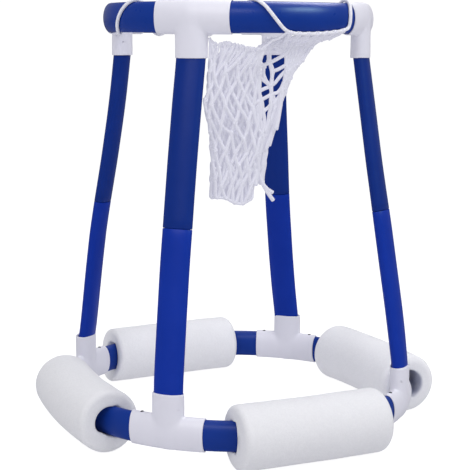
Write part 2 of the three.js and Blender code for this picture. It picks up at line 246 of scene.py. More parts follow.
def surface_nets(axes, field):
    """The zero surface of field on a grid whose lines are given, as points and quads."""
    gx, gy, gz = axes
    grid = np.stack(np.meshgrid(gx, gy, gz, indexing="ij"), -1)
    d = field(grid[..., 0], grid[..., 1], grid[..., 2])
    shape = tuple(n - 1 for n in d.shape)
    total, count = np.zeros(shape + (3,)), np.zeros(shape)
    crossings = []
    for axis in range(3):
        lo = [slice(None)] * 3
        hi = [slice(None)] * 3
        lo[axis], hi[axis] = slice(None, -1), slice(1, None)
        d0, d1 = d[tuple(lo)], d[tuple(hi)]
        cross = (d0 < 0) != (d1 < 0)
        w = np.where(cross, d0 / np.where(cross, d0 - d1, 1), 0)
        p = grid[tuple(lo)] * (1 - w[..., None]) + grid[tuple(hi)] * w[..., None]
        p = p * cross[..., None]
        crossings.append((cross, d0 < 0))
        others = [a for a in range(3) if a != axis]
        for da in (0, 1):
            for db in (0, 1):
                part = [slice(None)] * 3
                for o, k in zip(others, (da, db)):
                    part[o] = slice(k, d.shape[o] - 1 + k)
                total += p[tuple(part)]
                count += cross[tuple(part)]
    used = count > 0
    index = -np.ones(shape, int)
    index[used] = np.arange(used.sum())
    points = total[used] / count[used][:, None]
    quads = []
    for axis in range(3):
        cross, inside = crossings[axis]
        b, c = [(1, 2), (2, 0), (0, 1)][axis]
        keep = [slice(None)] * 3
        keep[b], keep[c] = slice(1, cross.shape[b] - 1), slice(1, cross.shape[c] - 1)
        at = np.argwhere(cross[tuple(keep)])
        at[:, b] += 1
        at[:, c] += 1
        if not len(at):
            continue
        sign = inside[tuple(at.T)]

        def cell(kb, kc):
            q = at.copy()
            q[:, b] -= kb
            q[:, c] -= kc
            return index[tuple(q.T)]

        q = np.stack([cell(1, 1), cell(0, 1), cell(0, 0), cell(1, 0)], -1)
        q[~sign] = q[~sign][:, ::-1]
        quads.append(q)
    quads = np.concatenate(quads)
    # put the points on the surface itself
    e = 0.02
    for _ in range(4):
        x, y, z = points.T
        f0 = field(x, y, z)
        g = np.stack(
            [
                (field(x + e, y, z) - field(x - e, y, z)) / (2 * e),
                (field(x, y + e, z) - field(x, y - e, z)) / (2 * e),
                (field(x, y, z + e) - field(x, y, z - e)) / (2 * e),
            ],
            -1,
        )
        g2 = np.maximum((g * g).sum(-1), 0.2)
        move = -(f0 / g2)[:, None] * g
        size = np.linalg.norm(move, axis=1, keepdims=True)
        points = points + move * np.minimum(1, 0.3 / np.maximum(size, 1e-9))
    return points, quads


def lines(*spans):
    """Grid lines from (start, end, step) spans, each going on from the one before."""
    out = []
    for a, b, step in spans:
        n = max(1, int(round((b - a) / step)))
        out.append(np.linspace(a, b, n + 1)[:-1])
    out.append([spans[-1][1]])
    return np.concatenate(out)


# ---- materials ----------------------------------------------------------------------------
class Nodes:
    """A material's node tree with short calls."""

    def __init__(self, name):
        self.material = bpy.data.materials.new(name)
        self.material.use_nodes = True
        self.tree = self.material.node_tree
        self.bsdf = next(n for n in self.tree.nodes if n.type == "BSDF_PRINCIPLED")

    def new(self, kind, **values):
        n = self.tree.nodes.new(kind)
        for key, value in values.items():
            if hasattr(n, key) and key not in n.inputs:
                setattr(n, key, value)
            else:
                n.inputs[key].default_value = value
        return n

    def link(self, a, b):
        self.tree.links.new(a, b)

    def place(self, scale):
        """Object coordinates in units of `scale` per metre."""
        c = self.new("ShaderNodeTexCoord")
        m = self.new("ShaderNodeMapping")
        m.inputs["Scale"].default_value = (
            (scale,) * 3 if isinstance(scale, (int, float)) else scale
        )
        self.link(c.outputs["Object"], m.inputs["Vector"])
        return m.outputs["Vector"]

    def noise(self, scale, detail=3.0, roughness=0.5, distortion=0.0, where=None):
        n = self.new("ShaderNodeTexNoise")
        n.inputs["Scale"].default_value = 1.0
        n.inputs["Detail"].default_value = detail
        n.inputs["Roughness"].default_value = roughness
        n.inputs["Distortion"].default_value = distortion
        self.link(where if where is not None else self.place(scale), n.inputs["Vector"])
        return n.outputs["Fac"]

    def ramp(self, source, stops):
        n = self.new("ShaderNodeValToRGB")
        e = n.color_ramp.elements
        while len(e) < len(stops):
            e.new(0.5)
        for k, (pos, colour) in enumerate(stops):
            e[k].position = pos
            e[k].color = (
                (colour, colour, colour, 1)
                if isinstance(colour, (int, float))
                else (*colour, 1)
            )
        self.link(source, n.inputs["Fac"])
        return n.outputs["Color"]

    def math(self, op, a, b=None):
        n = self.new("ShaderNodeMath", operation=op)
        for k, v in ((0, a), (1, b)):
            if v is None:
                continue
            if isinstance(v, (int, float)):
                n.inputs[k].default_value = v
            else:
                self.link(v, n.inputs[k])
        return n.outputs[0]

    def bump(self, height, strength, distance, before=None):
        n = self.new("ShaderNodeBump")
        n.inputs["Strength"].default_value = strength
        n.inputs["Distance"].default_value = distance
        self.link(height, n.inputs["Height"])
        if before is not None:
            self.link(before, n.inputs["Normal"])
        return n.outputs["Normal"]

    def set(self, **values):
        for key, value in values.items():
            self.bsdf.inputs[key.replace("_", " ")].default_value = value


def plastic(name, dark, light, rough, specular, grain=0.35):
    """Moulded or extruded plastic: a faint cloudiness in the colour, uneven gloss, fine
    orange-peel and the odd handling mark."""
    n = Nodes(name)
    n.set(IOR=1.46)
    n.bsdf.inputs["Specular IOR Level"].default_value = specular
    cloud = n.noise(22, 3, 0.55)
    n.link(n.ramp(cloud, [(0.3, dark), (0.7, light)]), n.bsdf.inputs["Base Color"])
    rub = n.noise(90, 4, 0.6)
    n.link(
        n.ramp(rub, [(0.3, rough - 0.03), (0.75, rough + 0.05)]),
        n.bsdf.inputs["Roughness"],
    )
    peel = n.noise(700, 2, 0.5)
    n1 = n.bump(peel, grain, 0.00006)
    wave = n.noise(60, 2, 0.5)
    n2 = n.bump(wave, 0.25, 0.0004, n1)
    n.link(n2, n.bsdf.inputs["Normal"])
    return n.material


blue_rim = plastic("blue_plastic_rim", (0.0016, 0.0309, 0.2534), (0.0027, 0.0345, 0.2760), 0.30, 0.22)
blue_upper = plastic("blue_plastic_upper", (0.0011, 0.0229, 0.2037), (0.0021, 0.0258, 0.2226), 0.34, 0.18)
blue_lower = plastic("blue_plastic_lower", (0.0010, 0.0270, 0.3182), (0.0020, 0.0301, 0.3468), 0.36, 0.17)
blue_base = plastic("blue_plastic_base", (0.0032, 0.0315, 0.2478), (0.0044, 0.0352, 0.2730), 0.32, 0.20)
white_tee = plastic("white_plastic", (0.7528, 0.7477, 0.8333), (0.7762, 0.7711, 0.8548), 0.36, 0.42, 0.25)


def foam_material(name, k):
    n = Nodes(name)
    n.set(Roughness=0.92)
    n.bsdf.inputs["Specular IOR Level"].default_value = 0.18
    cells = n.new("ShaderNodeTexVoronoi", feature="F1")
    cells.inputs["Scale"].default_value = 1.0
    cells.inputs["Randomness"].default_value = 1.0
    n.link(n.place(620), cells.inputs["Vector"])
    pores = n.noise(260, 4, 0.65)
    skin = n.noise(30, 3, 0.55)
    tone = n.math("MULTIPLY", cells.outputs["Distance"], 0.35)
    tone = n.math("ADD", tone, n.math("MULTIPLY", pores, 0.65))
    # k scales the whole colour, so one foam comes as darker and lighter copies: painted shade and painted light
    n.link(
        n.ramp(tone, [(0.15, (0.790 * k, 0.790 * k, 0.822 * k)), (0.75, (0.850 * k, 0.851 * k, 0.880 * k))]),
        n.bsdf.inputs["Base Color"],
    )
    b1 = n.bump(cells.outputs["Distance"], 0.30, 0.00035)
    b2 = n.bump(pores, 0.35, 0.0007, b1)
    b3 = n.bump(skin, 0.30, 0.0022, b2)
    n.link(b3, n.bsdf.inputs["Normal"])
    n.bsdf.inputs["Subsurface Weight"].default_value = 0.0
    return n.material


def twine_material(name, dark, light, sheen, through=0.0):
    """Soft braided twine. Its last argument is the strength of an emission: painted light that stands in for the light
    its white fibres pass on to each other and lightens the shaded gaps in the net.
    """
    n = Nodes(name)
    n.set(Roughness=0.78)
    n.bsdf.inputs["Specular IOR Level"].default_value = 0.2
    n.bsdf.inputs["Sheen Weight"].default_value = sheen
    n.bsdf.inputs["Sheen Roughness"].default_value = 0.4
    fluff = n.noise(900, 4, 0.6)
    broad = n.noise(120, 2, 0.5)
    tone = n.math("ADD", n.math("MULTIPLY", fluff, 0.6), n.math("MULTIPLY", broad, 0.4))
    n.link(n.ramp(tone, [(0.3, dark), (0.65, light)]), n.bsdf.inputs["Base Color"])
    b = n.bump(fluff, 0.35, 0.0002)
    n.link(b, n.bsdf.inputs["Normal"])
    # the glow is painted light: an emission that brightens the twine where it lies in shade
    if through:
        n.bsdf.inputs["Emission Color"].default_value = (0.91, 0.91, 1.0, 1.0)
        n.bsdf.inputs["Emission Strength"].default_value = through
    return n.material


def steel_material():
    n = Nodes("dark_steel")
    n.set(Metallic=1.0)
    scuff = n.noise(1500, 3, 0.6)
    n.link(
        n.ramp(scuff, [(0.3, (0.035, 0.034, 0.040)), (0.8, (0.12, 0.12, 0.135))]),
        n.bsdf.inputs["Base Color"],
    )
    n.link(n.ramp(scuff, [(0.2, 0.30), (0.8, 0.5)]), n.bsdf.inputs["Roughness"])
    n.link(n.bump(scuff, 0.2, 0.0001), n.bsdf.inputs["Normal"])
    return n.material


# painted shade and light: the front floats take a darker copy of the same foam, the rear floats a lighter one, for how
# the lamps fall on them
foam_front_painted_shade, foam_rear_painted_light = foam_material("white_foam_front", 0.945), foam_material("white_foam_rear", 1.02)
# the net's twine glows at 0.235: painted light that lightens its shaded gaps
twine = twine_material("net_twine", (0.495, 0.494, 0.566), (0.545, 0.543, 0.618), 0.05, 0.235)
cord_white = twine_material("lacing_cord", (0.76, 0.76, 0.82), (0.86, 0.86, 0.915), 0.05)
steel = steel_material()

# ---- ring tubes ---------------------------------------------------------------------------
UP = np.array([0.0, 0.0, 1.0])


def ring_tube(name, r, z, stop, turned, material, tall=TUBE_A):
    play, n = 0.25, 60
    deg = np.linspace(stop + play, 90 - stop - play, n + 1)
    path = ring(r, deg, z)
    radial = ring(1.0, deg)
    edge = 0.35
    ia, ib = tall - TUBE_WALL, TUBE_B - TUBE_WALL
    step = np.degrees(edge / r)
    extra = ring(r, [deg[0] + step, deg[-1] - step], z)
    path = np.concatenate([path, extra])
    radial = np.concatenate([radial, ring(1.0, [deg[0] + step, deg[-1] - step])])
    up = np.broadcast_to(UP, path.shape)
    s = [(0, tall - edge, TUBE_B - edge), (n + 1, tall, TUBE_B)]
    s += [(i, tall, TUBE_B) for i in range(1, n)]
    s += [(n + 2, tall, TUBE_B), (n, tall - edge, TUBE_B - edge)]
    s += [(i, ia, ib) for i in range(n, -1, -6)]
    v, f = hollow(path, up, radial, s)
    add(name, turn(v, turned), f, material, "frame", [name])


for k in range(4):
    ring_tube(f"base_tube_{CORNER[k]}", BASE_R, BASE_Z, BASE_STOP, 90 * k, blue_base, TUBE_A + SWELL)
    ring_tube(f"rim_tube_{CORNER[k]}", RIM_R, RIM_Z, RIM_STOP, 90 * k + RIM_TURN, blue_rim)

# ---- legs ---------------------------------------------------------------------------------
LEG_LOW = ring(BASE_R, 0, LEG_CROSS)
LEG_HIGH = ring(RIM_R, RIM_TURN, 410 - LEG_CROSS)
LEG_ACROSS = ring(1, 90 + RIM_TURN / 2)


def leg_point(z):
    t = (np.asarray(z, float) - LEG_LOW[2]) / (LEG_HIGH[2] - LEG_LOW[2])
    return LEG_LOW + (LEG_HIGH - LEG_LOW) * t[..., None]


LEG_AXIS = unit(LEG_HIGH - LEG_LOW)
LEG_X = unit(LEG_ACROSS - LEG_AXIS * np.dot(LEG_ACROSS, LEG_AXIS))
LEG_Y = np.cross(LEG_AXIS, LEG_X)


# The thin tubes aren't quite straight. For each leg: heights above the base ring, how far its
# centre line stands sideways there in mm, and its twist in degrees.
LEG_SIDEWAYS = np.array([0.938, 0.347])
LEG_BEND = {
    "front": (
        [25.5, 39, 50, 75, 100, 122, 162, 181, 202, 235, 270, 329, 365, 384],
        [-0.5, -0.9, -1.6, -1.9, -2.2, -2.4, -2.7, -2.6, -2.4, -2.2, -1.9, -0.9, 0.1, 0.0],
        [1, 2, 3, 4, 4, 4, 4, 4, 4, 3, 3, 3, 2, 1],
    ),
    "right": (
        [25.5, 40, 50, 75, 100, 125, 150, 165, 188, 202, 225, 260, 384],
        [0.5, 1.0, 1.3, 1.8, 2.0, 1.8, 1.5, 1.4, 1.2, 1.0, 0.6, 0.0, 0.0],
        [-3, -4, -6, -9, -10, -10, -10, -10, -10, -9, -6, -4, -1],
    ),
    "rear": (
        [25.5, 40, 50, 75, 100, 125, 150, 175, 202, 225, 250, 275, 300, 325, 350, 369, 384],
        [-0.5, -1.0, -1.5, -3.0, -3.9, -4.7, -5.1, -5.6, -5.7, -5.5, -5.1, -5.0, -4.8, -4.4, -3.0, -1.2, -0.8],
        [1, 2, 2, 3, 4, 4, 4, 4, 4, 4, 4, 4, 4, 3, 3, 2, 1],
    ),
    "left": (
        [25.5, 40, 50, 75, 100, 125, 150, 167, 202, 225, 250, 275, 300, 325, 350, 369, 384],
        [0.4, 0.8, 0.9, 0.4, -0.3, -0.9, -1.3, -1.5, -0.7, 0.2, 1.1, 1.6, 2.0, 2.0, 1.5, 0.9, 0.5],
        [0] * 17,
    ),
}


def eased(at, stations, values):
    """values at the stations, rounded off over about 30 mm."""
    g = np.arange(0.0, 411.0)
    k = np.hanning(33)
    return np.interp(at, g, np.convolve(np.pad(np.interp(g, stations, values), 16, mode="edge"), k / k.sum(), "valid"))


def leg(name, profile, k, material):
    """profile is a closed list of (height above the base ring, a, b)."""
    stations, bend, twist = LEG_BEND[SIDE[k]]
    z = np.array([p[0] for p in profile])
    path = leg_point(z) + np.array([0, 0, BASE_Z])
    t = np.radians(eased(z, stations, twist))[:, None]
    x = LEG_X * np.cos(t) + LEG_Y * np.sin(t)
    y = LEG_Y * np.cos(t) - LEG_X * np.sin(t)
    v, f = hollow(path, x, y, [(i, p[1], p[2]) for i, p in enumerate(profile)], 96)
    v = turn(v, 90 * k)
    v[:, :2] += eased(v[:, 2] - BASE_Z, stations, bend)[:, None] * LEG_SIDEWAYS
    add(name, v, f, material, "frame", [name])


def straight(z0, z1, a, b, n):
    return [(z, a, b) for z in np.linspace(z0, z1, n)]


A, B, W = TUBE_A, TUBE_B, TUBE_WALL
E = 0.55
# how high up each leg its two lengths meet
LEG_JOINT = {"front": JOINT_Z, "right": JOINT_Z + 6.5, "rear": JOINT_Z - 2.5, "left": JOINT_Z}


def leg_profiles(joint):
    lower = [(LEG_IN, A - 0.4, B - 0.4)] + straight(LEG_IN + 0.4, joint - E, A, B, 24)
    lower += [(joint - E * 0.35, A - E * 0.25, B - E * 0.25), (joint, A - E, B - E)]
    lower += [(joint, A - W - 0.3, B - W - 0.3)]
    lower += straight(joint + 0.2, joint + SPIGOT - 0.5, A - W - 0.3, B - W - 0.3, 4)
    lower += [(joint + SPIGOT, A - W - 0.8, B - W - 0.8)]
    lower += straight(joint + SPIGOT, LEG_IN, A - 2 * W, B - 2 * W + 0.2, 8)
    upper = [(joint + 0.35, A - E, B - E), (joint + 0.35 + E * 0.65, A - E * 0.25, B - E * 0.25)]
    upper += straight(joint + 0.35 + E, 410 - LEG_IN - 0.4, A, B, 24)
    upper += [(410 - LEG_IN, A - 0.4, B - 0.4)]
    upper += straight(410 - LEG_IN, joint + 0.35, A - W, B - W, 8)
    return lower, upper


for k in range(4):
    lower, upper = leg_profiles(LEG_JOINT[SIDE[k]])
    leg(f"leg_lower_{SIDE[k]}", lower, k, blue_lower)
    leg(f"leg_upper_{SIDE[k]}", upper, k, blue_upper)

# ---- tees ---------------------------------------------------------------------------------


def tee_mesh(r, arm, stop, up, longer):
    """The tee for leg 0, with x along the ring, y outwards and z up from the ring's centre line.
    up = 1 for a base tee, -1 for a rim tee."""
    mouth, back = rad(arm) * r, rad(stop) * r
    ia, ib = TUBE_A - TUBE_WALL, TUBE_B - TUBE_WALL
    swell = SWELL if up > 0 else 0.0
    left, right = mouth + longer[0], mouth + longer[1]
    # the leaning leg's axis in these coordinates: where it is at a height, per millimetre
    if up > 0:
        lean_x = RIM_R * math.sin(rad(RIM_TURN)) / (410 - 2 * LEG_CROSS)
        lean_y = (RIM_R * math.cos(rad(RIM_TURN)) - BASE_R) / (410 - 2 * LEG_CROSS)
    else:
        lean_x = -BASE_R * math.sin(rad(RIM_TURN)) / (410 - 2 * LEG_CROSS)
        lean_y = (BASE_R * math.cos(rad(RIM_TURN)) - RIM_R) / (410 - 2 * LEG_CROSS)
    slope = 1 / math.sqrt(1 + lean_y**2)
    # both of its mouths are cut square to the tee's middle, not to the ring
    skew = math.tan(rad(arm))
    cut = skew * TEE_B

    def field(x, y, z):
        zz = z * up
        arms = oval_distance(z, y, TEE_A + swell, TEE_B)
        arms = smooth_max(arms, (np.abs(x) + (np.maximum(y, 0) if up > 0 else y) * skew - np.where(x > 0, right, left)) * math.cos(rad(arm)), 0.9)
        t = np.clip(zz / STEM_MOUTH, 0, 1)
        a = STEM_ROOT[0] + (STEM_END[0] - STEM_ROOT[0]) * t
        b = STEM_ROOT[1] + (STEM_END[1] - STEM_ROOT[1]) * t
        # past the arms' middle the stem closes in the arms' own curve
        c, low = TEE_A + swell - 0.15, np.minimum(zz, 0)
        k0 = np.sqrt((x / a) ** 2 + (y / b) ** 2 + (low / c) ** 2) + 1e-9
        k1 = np.sqrt((x / a**2) ** 2 + (y / b**2) ** 2 + (low / c**2) ** 2) + 1e-9
        stem = k0 * (k0 - 1) / k1
        stem = smooth_max(stem, zz - STEM_MOUTH, 0.9)
        d = smooth_min(arms, stem, 1.7)
        bore = oval_distance(z, y, TUBE_A + swell + 0.3, TUBE_B + 0.3)
        socket = np.maximum(bore, back - np.abs(x))
        through = np.maximum(oval_distance(z, y, ia, ib), np.abs(x) - back - 0.6)
        lx, ly = x - lean_x * (zz - LEG_CROSS), y - lean_y * (zz - LEG_CROSS)
        well = oval_distance(lx, ly * slope, TUBE_A + 0.3, TUBE_B + 0.3)
        well = np.maximum(well, LEG_IN - 0.4 - zz)
        shaft = np.maximum(oval_distance(x, y, ia - 1, ib - 0.4), 2 - zz)
        shaft = np.maximum(shaft, zz - LEG_IN - 3)
        d = smooth_max(d, -np.minimum(socket, well), 0.5)
        return np.maximum(d, -np.minimum(through, shaft))

    fine = 0.22
    gx = lines(
        (-left - cut - 0.7, -left + cut + 1.3, fine),
        (-left + cut + 1.3, -18.2, 1.15),
        (-18.2, -14.2, 0.45),
        (-14.2, 14.2, 1.1),
        (14.2, 18.2, 0.45),
        (18.2, right - cut - 1.3, 1.15),
        (right - cut - 1.3, right + cut + 0.7, fine),
    )
    gy = lines((-10.8, -5.4, 0.33), (-5.4, 5.4, 0.83), (5.4, 10.8, 0.33))
    gz = lines(
        (-TEE_A - swell - 0.8, -14.2, 0.4),
        (-14.2, 14.2, 1.1),
        (14.2, 18.2, 0.45),
        (18.2, STEM_MOUTH - 1.3, 1.15),
        (STEM_MOUTH - 1.3, STEM_MOUTH + 0.7, fine),
    )
    if up < 0:
        gz = -gz[::-1]
    p, q = surface_nets((gx, gy, gz), field)
    x, y, z = p.T
    return ring(r + y, np.degrees(x / r), z), q[:, ::-1]


for z, r, arm, stop, up, kind, offset in (
    (BASE_Z, BASE_R, BASE_ARM, BASE_STOP, 1, "base", 0.0),
    (RIM_Z, RIM_R, RIM_ARM, RIM_STOP, -1, "rim", RIM_TURN),
):
    # one arm of the rim tees, and of the front base tee, is a little longer than the other
    plain = tee_mesh(r, arm, stop, up, (0.0, 0.0) if up > 0 else (0.0, 2.0))
    for k in range(4):
        name = f"{kind}_tee_{SIDE[k]}"
        front = name == "base_tee_front"
        v, f = tee_mesh(r, arm, stop, up, (1.6, -0.6)) if front else plain
        v = v + np.array([0, 0, z])
        add(name, turn(v, 90 * k + offset - (0.3 if front else 0.0)), f, white_tee, "frame", [name], sharp=50)

# ---- screws -------------------------------------------------------------------------------


def screw_mesh():
    """A pan head with a cross recess, and the top of its shank."""
    m, head_r, head_h, top = 48, 1.9, 1.25, 0.02
    t = np.arange(m) * 2 * np.pi / m
    rows = []
    for q in np.linspace(0.06, 1, 11):
        rr = head_r * q
        z = top + head_h * (1 - 0.55 * q**3.2) - (0.1 if q == 1 else 0)
        x, y = rr * np.cos(t), rr * np.sin(t)
        arm = np.minimum(np.abs(x), np.abs(y))
        depth = 0.62 * np.clip((0.36 - arm) / 0.12, 0, 1) * np.clip((1.25 - rr) / 0.2, 0, 1)
        rows.append(np.stack([x, y, z - depth], -1))
    for rr, z in ((head_r, top + head_h * 0.3), (head_r, top), (1.1, top), (1.1, top - 5.6), (0.5, top - 7)):
        rows.append(np.stack([rr * np.cos(t), rr * np.sin(t), np.full(m, z)], -1))
    v = np.concatenate([*rows, [[0, 0, top + head_h - 0.62]], [[0, 0, top - 7.3]]])
    f = [q[::-1] for q in grid_faces(len(rows), m, closed=False).tolist()]
    c, d = len(rows) * m, len(rows) * m + 1
    last = (len(rows) - 1) * m
    for j in range(m):
        f.append([c, j, (j + 1) % m])
        f.append([d, last + (j + 1) % m, last + j])
    return v, f


screw_v, screw_f = screw_mesh()
for k in range(4):
    for end, deg in (("a", -SCREW_AT), ("b", SCREW_AT)):
        name = f"screw_{SIDE[k]}_{end}"
        if name == "screw_front_b":
            continue
        turned = turn(screw_v, 17.0 * k + (40 if end == "a" else 65))
        v = turned + ring(BASE_R, 90 * k + deg, BASE_Z + TEE_A)
        add(name, v, screw_f, steel, "frame", [name], sharp=32)

# ---- floats -------------------------------------------------------------------------------


def bore_reach(angle, offset, outer, press):
    """The bore's reach from the float's middle line; outer is its half width away from the hoop's
    axis, and press is the part that the foam closes up on the tube's lower outside."""
    a, b = TUBE_B + 0.5, TUBE_A + SWELL + 0.35
    c, s = np.cos(angle), np.sin(angle)
    qa = c * c / a**2 + s * s / b**2
    qb = -2 * offset * c / a**2
    qc = offset * offset / a**2 - 1
    disc = qb * qb - 4 * qa * qc
    hit = np.where(disc > 0, (-qb + np.sqrt(np.maximum(disc, 0))) / (2 * qa), 0)
    lo = np.where(c > 0, 1 / np.sqrt((c / outer) ** 2 + (s / FLOAT_BORE) ** 2), FLOAT_BORE)
    lo = lo * (1 - press * np.exp(-(((np.mod(angle + np.pi, 2 * np.pi) - np.pi + 1.05) / 0.5) ** 2)))
    hi = hit
    h = np.maximum(1.2 - np.abs(lo - hi), 0) / 1.2
    return np.maximum(lo, hi) + h * h * 0.3


def float_mesh(at, rho, length, radius, sag, seed, tight, edge, e, press, short, slant):
    """edge and e round its first and last end; the last one is cut short and on a slant."""
    m, half = 112, length / 2
    prof = []
    arc = np.linspace(0, math.pi / 2, 10)
    for t in arc:  # the far end's rounding, from its face to its side
        prof.append((radius - e + e * math.sin(t), half - e + e * math.cos(t)))
    for s in np.linspace(half - e, -half + edge, 56)[1:-1]:
        prof.append((radius, s))
    for t in arc[::-1]:
        prof.append((radius - edge + edge * math.sin(t), -half + edge - edge * math.cos(t)))
    lip = 1.6
    steps = (0.35, 0.7, 1.0)
    face = [radius - e - (radius - e - FLOAT_BORE - lip) * q for q in steps]
    near = [(radius - edge - (radius - edge - FLOAT_BORE - lip) * q, -half) for q in steps] + [(None, -half + lip * 0.3), (None, -half + lip)]
    far = [(None, half - lip), (None, half - lip * 0.3)] + [(r, half) for r in face[::-1]]
    inner = [(None, s) for s in np.linspace(-half + 6, half - 6, 22)]
    stations = prof + near + inner + far
    ang = np.arange(m) * 2 * np.pi / m
    out, along = ring(1, at), ring(1, at + 90)
    rows = []
    for k, (reach, s) in enumerate(stations):
        w = s / half
        centre = out * (rho - sag * w * w) + along * s
        normal = unit(out + along * (2 * sag * w / half))
        # how far the foam closes on the tube at its first end
        t = np.clip(1 - (half + s) / 40, 0, 1)
        outer = FLOAT_BORE - tight * t * t * (3 - 2 * t)
        last = np.clip(1 - (half - s) / 30, 0, 1)
        last = last * last * (3 - 2 * last)
        bore = bore_reach(ang, BASE_R - np.linalg.norm(centre), outer, press * last)
        if reach is None:
            rr = bore
            gone = half - abs(s)
            if gone < lip:
                rr = rr + (lip - gone) ** 2 / lip * 0.9
        elif reach <= FLOAT_BORE + lip + 0.01:
            rr = np.maximum(bore + lip, reach)
        else:
            rim = bore + lip + 0.3
            rr = np.maximum(np.full(m, reach), np.minimum(rim, reach + 3))
        low = np.clip((rr - 18) / (radius - 18), 0, 1) * np.clip(-np.sin(ang), 0, 1)
        push = last * (slant * low - short)
        rows.append(
            centre + push[:, None] * along
            + (rr * np.cos(ang))[:, None] * normal + (rr * np.sin(ang))[:, None] * UP
        )
    v = np.concatenate(rows)
    # the hand-cut, slightly dented skin of a foam tube
    outside = len(prof) * m
    mid = np.repeat([out * (rho - sag * (s / half) ** 2) + along * s for _, s in prof], m, 0)
    push = np.zeros(outside)
    for i in range(outside):
        p = Vector(v[i] * 0.022) + Vector((seed * 7.3, seed * 3.1, 0))
        q = Vector(v[i] * 0.11) + Vector((seed * 2.7, 0, seed * 5.9))
        push[i] = 0.45 * noise.noise(p) + 0.13 * noise.noise(q)
    d = unit(v[:outside] - mid)
    moved = v[:outside] + d * (push - 0.35)[:, None]
    v[:outside] = moved
    v[:, 2] = np.maximum(v[:, 2], -radius + 0.02)
    return v, grid_faces(len(stations), m)


# how far the bore closes at the first end, the two ends' rounding, and how far the last end is
# pressed on the tube, cut short and cut on a slant
FLOAT_ENDS = {
    "front_right": (11.0, 5.5, FLOAT_EDGE, 0.0, 0.0, 0.0),
    "front_left": (0.0, FLOAT_EDGE, 6.0, 0.2, 2.9, 0.0),
    "rear_left": (0.0, FLOAT_EDGE, 5.0, 0.0, 0.0, 6.5),
}
for i, (name, spec) in enumerate(FLOATS.items()):
    v, f = float_mesh(*spec, i + 1, *FLOAT_ENDS.get(name, (0.0, FLOAT_EDGE, FLOAT_EDGE, 0.0, 0.0, 0.0)))
    skin = foam_front_painted_shade if name.startswith("front") else foam_rear_painted_light
    o = add(f"float_{name}", v + np.array([0, 0, BASE_Z]), f, skin, f"float_{name}", [f"float_{name}"], sharp=60)

# ---- lacing cord --------------------------------------------------------------------------
# Direction round the rim, and the angle round its section: 0 outside, 90 on top, 180 inside,
# 270 underneath. It winds over the tubes, passes inside each tee and runs under the rim where
# the net's loops are threaded.
CORD = [
    (210.4, 205), (212.2, 240), (213.8, 275), (216, 320), (218.5, 360), (221.5, 405), (224, 450), (227, 500), (230, 540), (236, 545),
    (239, 590), (241, 630), (243.5, 680), (245.5, 720), (247.5, 765), (249, 810), (250.5, 860), (252, 900),
    (289, 905), (309, 905), (313, 925), (315.6, 975), (316.8, 995), (318.9, 1010), (320.25, 1025), (321.15, 1040), (322.3, 1060),
    (323.7, 1080), (325.75, 1105), (327.55, 1125), (328.9, 1140), (330.3, 1158), (331.5, 1175), (333, 1200), (335, 1230), (337, 1252),
    (343, 1262), (372, 1262), (379, 1250), (381.5, 1230), (383.5, 1205), (385.3, 1180), (386.7, 1160), (388.2, 1140), (389.8, 1125),
    (391.3, 1105), (393.5, 1080), (395.4, 1060), (397.4, 1040), (399.2, 1025), (402.4, 1018),
    (405, 1016), (408.7, 1016), (412, 1017), (416.9, 1020.5), (422.2, 1027), (426.3, 1033), (428.6, 1037), (429.9, 1042), (430.1, 1052), (430.2, 1064),
    (430.3, 1080), (430.6, 1105), (431.3, 1125), (431.9, 1145), (432.2, 1170), (432.6, 1215), (433.6, 1252),
    (436, 1262), (466, 1262), (472, 1290), (476, 1350), (478.5, 1400), (481, 1440), (483.5, 1485), (486, 1530), (488.5, 1580),
    (491, 1620), (503, 1630), (508, 1710), (510.5, 1760), (512.5, 1800), (514.5, 1845), (517, 1890), (519, 1935), (521.5, 1980),
    (524, 1985), (556, 1985), (562, 1995), (565, 2040), (566.6, 2020), (568.2, 2000),
]
CORD_R = 1.8
CORD_UNDER = ([39.2, 42.4, 45, 48.7, 52, 56.9, 62.2, 66.3, 68.2], [305, 298, 296, 296, 297, 300.5, 307, 313, 319])
CORD_SLACK = 0.9


def cord_on(phi, psi, off):
    near = np.abs(((phi % 90) + 135) % 90 - 45)
    w = np.clip((near - (RIM_ARM + 0.6)) / 2.4, 0, 1)
    on_tee = 1 - w * w * (3 - 2 * w)
    a = TUBE_A + (TEE_A - TUBE_A) * on_tee
    b = TUBE_B + (TEE_B - TUBE_B) * on_tee
    t = np.radians(psi)
    x, z = b * np.cos(t), a * np.sin(t)
    nx, nz = np.cos(t) / b, np.sin(t) / a
    n = np.hypot(nx, nz)
    return ring(RIM_R + x + off * nx / n, phi, z + off * nz / n)


def cord_line():
    c = np.array(CORD, float)
    phi, psi = [], []
    for (p0, s0), (p1, s1) in zip(c[:-1], c[1:]):
        n = max(2, int(math.ceil(max(abs(s1 - s0) / 4, (p1 - p0) / 0.6))))
        phi += list(np.linspace(p0, p1, n, endpoint=False))
        psi += list(np.linspace(s0, s1, n, endpoint=False))
    phi.append(c[-1, 0])
    psi.append(c[-1, 1])
    phi, psi = np.array(phi), np.array(psi)
    # ease the corners between the stations
    k = np.hanning(9)
    k /= k.sum()
    pad = 4
    for _ in range(2):
        phi = np.convolve(np.pad(phi, pad, mode="reflect", reflect_type="odd"), k, "valid")
        psi = np.convolve(np.pad(psi, pad, mode="reflect", reflect_type="odd"), k, "valid")
    # it hangs a little off the tube where the net's loops are on it
    span = np.clip((phi - 399) / 3, 0, 1) * np.clip((428.5 - phi) / 2, 0, 1)
    return cord_on(phi, psi, CORD_R + 0.12 + CORD_SLACK * span * span * (3 - 2 * span))


def braid(pitch, carriers, depth):
    def relief(angle, s):
        a = np.abs(np.sin(carriers / 2 * (angle + 2 * np.pi * s / pitch)))
        b = np.abs(np.sin(carriers / 2 * (angle - 2 * np.pi * s / pitch)))
        return depth * (np.maximum(a, b) - 0.85)

    return relief


